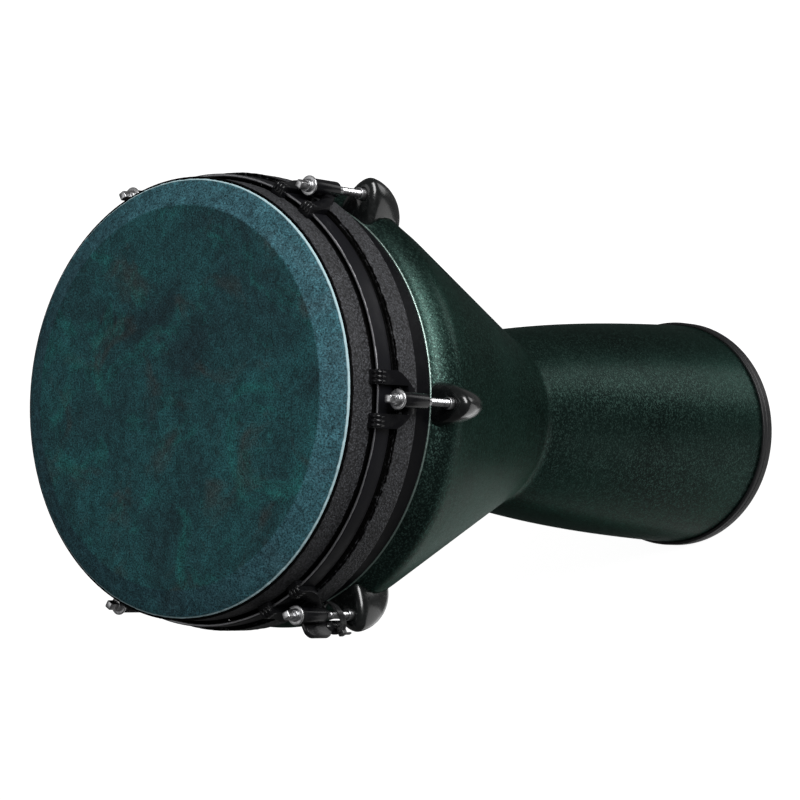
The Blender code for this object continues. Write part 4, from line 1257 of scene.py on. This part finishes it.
@dataclass
class TuningStations:
    """Claws, tension rods, lug casings and swivel nuts."""

    shop: Workshop
    shell: Shell
    lug_centre: Point = (140.0, 88.0)      # distance from the drum's axis, and drop
    lug_out: float = 41.0
    lug_half_width: float = 16.4
    lug_length: float = 48.0
    lug_front: float = 84.6
    lug_front_round: float = 6.5
    lug_taper: float = 1.6
    nut_neck: float = 4.3
    nut_drops: Point = (80.4, 88.0)
    rod_radius: float = 2.9
    square: float = 5.6
    square_length: float = 7.2
    seat_drop: float = 30.2
    thread_drop: float = 62.0
    thread_depth: float = 0.55
    pitch: float = 25.4 / 24.0             # 24 threads to the inch, as the frame's rods turn
    tip_drop: float = 104.0

    def build(self) -> None:
        """Make all six stations."""
        palette = self.shop.palette
        lugs = self.shop.at_stations("lug_casings", self.lug_pattern(), palette.lug)
        self.shop.deliver("lug_casings", lugs, palette.lug, Body.DRUM.value, numbered("lug_casing"))
        nuts = self.shop.at_stations("swivel_nuts", self.nut_pattern(), palette.nut)
        self.shop.deliver("swivel_nuts", nuts, palette.nut, Body.DRUM.value, numbered("swivel_nut"))
        claws = self.shop.at_stations("claw_brackets", self.claw_pattern(), palette.claw)
        self.shop.deliver("claw_brackets", claws, palette.claw, Body.HOOP.value, numbered("claw"))
        rod = self.rod_pattern()
        for index in range(STATIONS):
            number = index + 1
            mesh = moved(rod, station_turn(index) @ on_rod())
            self.shop.deliver(f"tension_rod_{number}_bright", mesh, palette.rod, f"rod_{number}",
                              [f"tension_rod_{number}"])

    def lug_section(self, drop: float, shrink: float = 0.0) -> list[Vector]:
        """Return one oval section of the lug at a drop, made smaller all round by an amount."""
        centre_radius, centre_drop = self.lug_centre
        along = abs(drop - centre_drop) / self.lug_length
        size = math.sqrt(max(0.0, 1.0 - along ** self.lug_taper))
        out = max(0.02, self.lug_out * size - shrink)
        across = max(0.02, self.lug_half_width * size - shrink)
        points = []
        for step in range(64):
            angle = math.tau * step / 64
            points.append(Vector((centre_radius + out * math.cos(angle), across * math.sin(angle),
                                  height(drop))) * MM)
        return points

    def lug_pattern(self) -> bpy.types.Mesh:
        """Return one teardrop lug at +X: rounded front, tapered tail, seated on the shell."""
        reach = self.lug_front_round
        sections = [self.lug_section(self.lug_front, reach * 1.8)]
        for step in range(9):
            angle = math.pi / 2.0 * step / 8
            sections.append(self.lug_section(self.lug_front + reach * (1.0 - math.cos(angle)),
                                             reach * (1.0 - math.sin(angle))))
        start = self.lug_front + reach
        tip = self.lug_centre[1] + self.lug_length
        rows = 40
        for row in range(1, rows + 1):
            part = math.sin(math.pi / 2.0 * row / rows)
            sections.append(self.lug_section(start + (tip - start) * part))
        solid = loft("lug_solid", sections)
        seat = self.shop.turn("lug_seat", self.shell.envelope(0.25), self.shop.palette.lug, steps=144,
                              closed=False)
        seated = cut("lug_seated", solid, seat, "DIFFERENCE")
        bore = self.shop.turn("lug_bore", [(0.0, height(70.0)), (self.nut_neck + 0.5, height(70.0)),
                                           (self.nut_neck + 0.5, height(90.0)), (3.4, height(91.0)),
                                           (3.4, height(110.0)), (0.0, height(110.0))],
                              self.shop.palette.lug, steps=48, closed=False)
        bored = cut("lug_bored", seated, moved(bore, on_rod()), "DIFFERENCE")
        return outwards(with_modifiers("lug", bored, [bevel(0.5, 2, 50.0)]))

    def nut_pattern(self) -> bpy.types.Mesh:
        """Return one swivel nut's visible neck and body at +X."""
        top, bottom = (height(drop) for drop in self.nut_drops)
        neck = self.nut_neck
        bore = self.rod_radius + 0.25
        outline = arc((neck - 0.7, top - 0.7), 0.7, 90.0, 0.0, 4)
        outline += [(neck, bottom), (bore, bottom), (bore, top - 0.5), (bore + 0.5, top)]
        nut = self.shop.turn("nut", outline, self.shop.palette.nut, steps=40)
        return moved(nut, on_rod())

    def claw_pattern(self) -> bpy.types.Mesh:
        """Return one claw at +X: the bracket with rounded edges and three ribs down each hook."""
        bracket = frame["nodes"]["claw_1"].data.copy()
        bracket.transform(station_turn(0).inverted())
        bracket = outwards(bracket)
        merge_flats = ("DECIMATE", {"decimate_type": "DISSOLVE", "angle_limit": math.radians(2.0)})
        pieces = [with_modifiers("claw", bracket, [merge_flats, bevel(0.55, 3, 30.0)])]
        for side in (-1.0, 1.0):
            for rib in range(3):
                across = side * (11.6 + 3.0 * rib)
                pieces.append(self.rib(across))
        return joined("claw", pieces)

    def rib(self, across: float) -> bpy.types.Mesh:
        """Return one rounded rib that runs over a hook and down its face, at this distance to a side."""
        route = [(154.6, 18.4), (156.2, 17.6), (158.6, 17.7), (160.3, 18.9), (161.0, 21.0), (160.9, 24.6)]
        sections = []
        for index, (radius, drop) in enumerate(route):
            before = route[max(0, index - 1)]
            after = route[min(len(route) - 1, index + 1)]
            heading = math.atan2(-(after[1] - before[1]), after[0] - before[0])
            outward = Vector((-math.sin(heading), 0.0, math.cos(heading)))
            if outward.x < 0.0 and drop > 20.0:
                outward.negate()
            size = 0.5 if index in (0, len(route) - 1) else 1.2
            section = []
            for step in range(10):
                angle = math.tau * step / 10
                offset = outward * (0.62 * size * math.sin(angle))
                point = Vector((radius, across + size * math.cos(angle), height(drop))) + offset
                section.append(point * MM)
            sections.append(section)
        return loft("rib", sections)

    def rod_pattern(self) -> bpy.types.Mesh:
        """Return one rod about its own axis: square head, neck, flange, plain shank and thread."""
        palette = self.shop.palette
        seat = height(self.seat_drop) + 0.3
        flange = seat + 1.6
        neck = flange + 2.8
        radius = self.rod_radius
        outline = [(0.0, neck)]
        outline += arc((3.5, neck - 0.9), 0.9, 90.0, 0.0, 4)
        outline += [(4.4, flange + 0.3), (4.7, flange)]
        outline += arc((6.4, flange - 0.6), 0.6, 90.0, 0.0, 4)
        outline += arc((6.4, seat + 0.6), 0.6, 0.0, -90.0, 4)
        shank_end = height(self.thread_drop)
        outline += [(radius, seat), (radius, shank_end), (radius - 0.6, shank_end - 0.6),
                    (0.0, shank_end - 0.6)]
        shank = self.shop.turn("rod_shank", outline, palette.rod, steps=48, closed=False)
        low, high = neck - 1.5, neck + self.square_length
        square = block("rod_square", (self.square, self.square, high - low), (0.0, 0.0, (low + high) / 2.0))
        square = with_modifiers("rod_square", square, [bevel(1.0, 4)])
        seed = bpy.data.meshes.new("thread_seed")
        seed.from_pydata([(0.0, 0.0, 0.0)], [], [])
        length = self.tip_drop - self.thread_drop
        thread = self.shop.thread.apply("rod_thread", seed, palette.material(palette.rod),
                                        Top=shank_end * MM, Length=length * MM,
                                        Core=(radius - self.thread_depth) * MM,
                                        Crest=self.thread_depth * MM, Pitch=self.pitch * MM,
                                        Rows=int(length * 6) + 3, Steps=20)
        return joined("rod", [shank, square, outwards(thread)])


def numbered(node: str) -> list[str]:
    """Return the names of a CAD node's six copies."""
    return [f"{node}_{number}" for number in range(1, STATIONS + 1)]


@dataclass
class KeyAndTie:
    """Tuning key stored beside the last rod, and the ribbed tie that holds it there."""

    shop: Workshop
    offset: Point = (5.4, -7.9)
    paddle: tuple[float, float, float] = (16.0, 4.0, 26.0)
    paddle_drop: float = 42.0
    stem_radius: float = 4.6
    end_drop: float = 81.0
    socket: float = 6.5
    socket_depth: float = 12.0
    paddle_corner: float = 6.0
    loop_centre: Point = (1.2, -2.0)
    loops: Sequence[Point] = ((11.2, 66.2), (10.6, 69.6))      # radius and middle drop of each loop
    lean: Point = (0.28, -0.30)
    tie_width: float = 2.4
    tie_thickness: float = 1.3
    tie_rib: float = 0.55
    ribs: int = 58
    lock: tuple[float, float, float] = (4.6, 5.0, 4.4)
    tail: tuple[float, float, float] = (1.2, 2.4, 7.0)

    def home(self) -> Matrix:
        """Return the place of the last rod's axis."""
        return station_turn(KEY_STATION) @ on_rod()

    def build(self) -> None:
        """Make the key and the tie."""
        self.build_key()
        self.build_tie()

    def build_key(self) -> None:
        """Make the key: rounded paddle, collar and stem with its square socket."""
        x, y = self.offset
        low = height(self.paddle_drop + self.paddle[2])
        paddle = self.rounded_paddle(low)
        end = height(self.end_drop)
        radius = self.stem_radius
        outline = [(0.0, low + 4.0), (2.6, low + 4.0), (radius, low + 1.0), (radius, low - 2.0),
                   (radius - 0.5, low - 2.6), (radius - 0.5, low - 3.6), (radius, low - 4.2)]
        outline += arc((radius - 0.6, end + 0.6), 0.6, 0.0, -90.0, 4)
        outline += [(0.0, end)]
        stem = self.shop.turn("key_stem", outline, self.shop.palette.key, steps=48, closed=False)
        stem = moved(stem, Matrix.Translation((x * MM, y * MM, 0.0)))
        socket = block("key_socket", (self.socket, self.socket, 2.0 * self.socket_depth), (x, y, end))
        stem = cut("key_stem", stem, socket, "DIFFERENCE")
        palette = self.shop.palette
        mesh = joined("tuning_key_black", [paddle, outwards(stem)])
        mesh.transform(self.home())
        self.shop.deliver("tuning_key_black", mesh, palette.key, Body.KEY.value, ["tuning_key"])

    def rounded_paddle(self, low: float) -> bpy.types.Mesh:
        """Return the key's flat paddle, with wide round corners, standing on this height."""
        width, depth, tall = self.paddle
        x, y = self.offset
        corner = self.paddle_corner
        sections = []
        for along, inset in ((-0.5, 0.9), (-0.36, 0.25), (-0.2, 0.0), (0.2, 0.0), (0.36, 0.25), (0.5, 0.9)):
            across, up = width / 2.0 - corner, tall / 2.0 - corner
            turn = []
            for centre, start in (((across, up), 0.0), ((-across, up), 90.0), ((-across, -up), 180.0),
                                  ((across, -up), 270.0)):
                turn += arc(centre, corner - inset, start, start + 90.0, 8)
            sections.append([Vector((x + px, y + depth * along, low + tall / 2.0 + pz)) * MM
                             for px, pz in turn])
        return loft("key_paddle", sections)

    def belt(self, radius: float, drop: float) -> list[Vector]:
        """Return a loose loop round the rod and the key's stem.

        Args:
            radius: Radius of the loop, in millimetres.
            drop: Drop of its middle; the loop leans so that its outer side hangs lower.

        Returns:
            Points of the loop, in metres, in the frame of the rod.
        """
        route = []
        for step in range(48):
            angle = math.tau * step / 48
            out, side = radius * math.cos(angle), radius * 0.92 * math.sin(angle)
            fall = self.lean[0] * out + self.lean[1] * side + 0.5 * math.sin(2.0 * angle)
            route.append(Vector((self.loop_centre[0] + out, self.loop_centre[1] + side,
                                 height(drop + fall))) * MM)
        return route

    def build_tie(self) -> None:
        """Make the tie: two ribbed loops, lock head and cut tail."""
        palette = self.shop.palette
        parts = []
        for radius, drop in self.loops:
            route = self.belt(radius, drop)
            loop = bpy.data.meshes.new("tie_route")
            loop.from_pydata(route, [(i, (i + 1) % len(route)) for i in range(len(route))], [])
            band = self.shop.strap.apply("tie_band", loop, palette.material(palette.tie), Ribs=self.ribs,
                                         Width=self.tie_width * MM, Thickness=self.tie_thickness * 0.6 * MM,
                                         Rib_Size=(self.tie_thickness * MM, self.tie_rib * MM,
                                                   self.tie_width * 0.85 * MM))
            parts.append(outwards(band))
        radius, drop = self.loops[-1]
        x, y = self.loop_centre[0] + radius, self.loop_centre[1]
        level = height(drop + self.lean[0] * radius)
        lock = block("tie_lock", self.lock, (x + 0.6, y, level))
        tail = block("tie_tail", self.tail, (x + 1.6, y, level - 4.6))
        parts.append(with_modifiers("tie_lock", lock, [bevel(0.6, 3)]))
        parts.append(with_modifiers("tie_tail", tail, [bevel(0.3, 2)]))
        mesh = joined("tie_ribbed", parts)
        mesh.transform(self.home())
        self.shop.deliver("tie_ribbed", mesh, palette.tie, Body.KEY.value, ["cable_tie"])


@dataclass
class HiddenFasteners:
    """Screws and washer plates inside the shell, whose CAD shapes are kept and refinished."""

    shop: Workshop
    families: Sequence[str] = ("upper_screw", "lower_screw", "washer_plate")

    def build(self) -> None:
        """Give each fastener its plated steel."""
        material = self.shop.palette.material(self.shop.palette.nut)
        for family in self.families:
            for node in numbered(family):
                mesh = frame["nodes"][node].data
                for index in range(len(mesh.materials)):
                    mesh.materials[index] = material
            LOG.info("%s: six refinished", family)


# ---------------------------------------------------------------------------------------------------
# Studio
# ---------------------------------------------------------------------------------------------------


@dataclass(frozen=True)
class View:
    """Camera placed by its direction, distance and roll about the point it looks at."""

    aim: tuple[float, float, float] = (0.01025, -0.00065, 0.36855)
    distance: float = 2.2424
    azimuth: float = 86.377
    elevation: float = -50.209
    roll: float = 85.525
    lens: float = 135.0
    sensor: float = 36.0

    def axes(self) -> tuple[Vector, Vector, Vector]:
        """Return the view's right, up and forward directions."""
        azimuth, elevation, roll = (math.radians(angle)
                                    for angle in (self.azimuth, self.elevation, self.roll))
        forward = Vector((math.cos(elevation) * math.cos(azimuth), math.cos(elevation) * math.sin(azimuth),
                          math.sin(elevation)))
        level = forward.cross(Vector((0.0, 0.0, 1.0))).normalized()
        upright = level.cross(forward)
        up = upright * math.cos(roll) + level * math.sin(roll)
        right = level * math.cos(roll) - upright * math.sin(roll)
        return right, up, forward

    def build(self) -> None:
        """Make the camera and set it as the scene's."""
        right, up, forward = self.axes()
        camera = bpy.data.cameras.new("studio_camera")
        camera.lens = self.lens
        camera.sensor_width = self.sensor
        camera.clip_end = 50.0
        thing = bpy.data.objects.new("studio_camera", camera)
        turn = Matrix((right, up, -forward)).transposed().to_4x4()
        thing.matrix_world = Matrix.Translation(Vector(self.aim) - forward * self.distance) @ turn
        bpy.context.scene.collection.objects.link(thing)
        bpy.context.scene.camera = thing


@dataclass(frozen=True)
class Softbox:
    """One soft area light, placed by its direction in the view: right, up and towards the camera."""

    name: str
    direction: tuple[float, float, float]
    distance: float
    size: Point
    power: float
    colour: Colour = (1.0, 1.0, 1.0)

    def build(self, view: View) -> None:
        """Make the light and turn it to the drum."""
        right, up, forward = view.axes()
        side, rise, towards = self.direction
        way = (right * side + up * rise - forward * towards).normalized()
        light = bpy.data.lights.new(self.name, "AREA")
        light.shape = "RECTANGLE"
        light.size, light.size_y = self.size
        light.energy = self.power
        light.color = self.colour
        thing = bpy.data.objects.new(self.name, light)
        thing.location = Vector(view.aim) + way * self.distance
        thing.rotation_mode = "QUATERNION"
        thing.rotation_quaternion = way.to_track_quat("Z", "Y")
        thing.visible_camera = False
        bpy.context.scene.collection.objects.link(thing)


@dataclass
class Studio:
    """Camera, plain pale floor and soft light."""

    view: View = field(default_factory=View)
    floor_half: float = 9.0
    floor_gap: float = 0.2
    floor_glow: float = 0.94
    ambient: float = 0.075
    lights: Sequence[Softbox] = (
        Softbox("key_softbox", (0.34, 0.56, 0.75), 2.4, (2.0, 1.0), 64.0),
        Softbox("pipe_softbox", (0.82, 0.46, -0.34), 2.2, (0.8, 1.2), 4.0),
        Softbox("low_panel", (0.38, -0.26, -0.89), 2.2, (1.0, 0.8), 1.4),
        Softbox("under_fill", (0.68, -0.40, -0.50), 2.3, (2.6, 1.4), 6.6),
        Softbox("head_fill", (-0.85, 0.15, 0.50), 2.4, (1.6, 1.6), 7.5),
    )

    def build(self) -> None:
        """Make the studio."""
        self.view.build()
        self.build_floor()
        self.build_world()
        for light in self.lights:
            light.build(self.view)
        settings = bpy.context.scene.view_settings
        settings.view_transform = "Standard"
        settings.look = "None"

    def build_floor(self) -> None:
        """Make the floor: pale, matt, bright enough to stay white behind the drum, and clear from below."""
        shape = bmesh.new()
        bmesh.ops.create_grid(shape, x_segments=8, y_segments=8, size=self.floor_half)
        mesh = bpy.data.meshes.new("studio_floor")
        shape.to_mesh(mesh)
        shape.free()
        floor = bpy.data.objects.new("studio_floor", mesh)
        material = bpy.data.materials.new("floor_white")
        material.use_nodes = True
        wires = Wiring(material.node_tree)
        shader = material.node_tree.nodes["Principled BSDF"]
        behind = wires.add("ShaderNodeNewGeometry").outputs["Backfacing"]
        wires.join(wires.math("SUBTRACT", 1.0, behind), shader.inputs["Alpha"])
        shader.inputs["Base Color"].default_value = (0.40, 0.40, 0.40, 1.0)
        shader.inputs["Roughness"].default_value = 0.9
        shader.inputs["Emission Color"].default_value = (1.0, 1.0, 1.0, 1.0)
        shader.inputs["Emission Strength"].default_value = self.floor_glow
        mesh.materials.append(material)
        bpy.context.scene.collection.objects.link(floor)
        floor.location.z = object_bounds()[0].z - self.floor_gap * MM
        floor.visible_glossy = False
        floor.visible_diffuse = False
        floor.visible_shadow = False
        floor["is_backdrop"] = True

    def build_world(self) -> None:
        """Make the even grey light that fills the studio."""
        world = bpy.data.worlds.new("studio_fill")
        world.use_nodes = True
        shader = world.node_tree.nodes["Background"]
        shader.inputs["Color"].default_value = (1.0, 1.0, 1.0, 1.0)
        shader.inputs["Strength"].default_value = self.ambient
        bpy.context.scene.world = world


def main() -> None:
    """Build the drum's sub-assemblies in order, then the studio, and note the sizes."""
    logging.basicConfig(level=logging.INFO, format="%(name)s: %(message)s", force=True)
    shop = Workshop()
    shell = Shell(shop)
    for part in (shell, Head(shop), TuningStations(shop, shell), KeyAndTie(shop), HiddenFasteners(shop)):
        part.build()
        LOG.info("%s done", type(part).__name__)
    Studio().build()


if __name__ == "__main__":
    main()
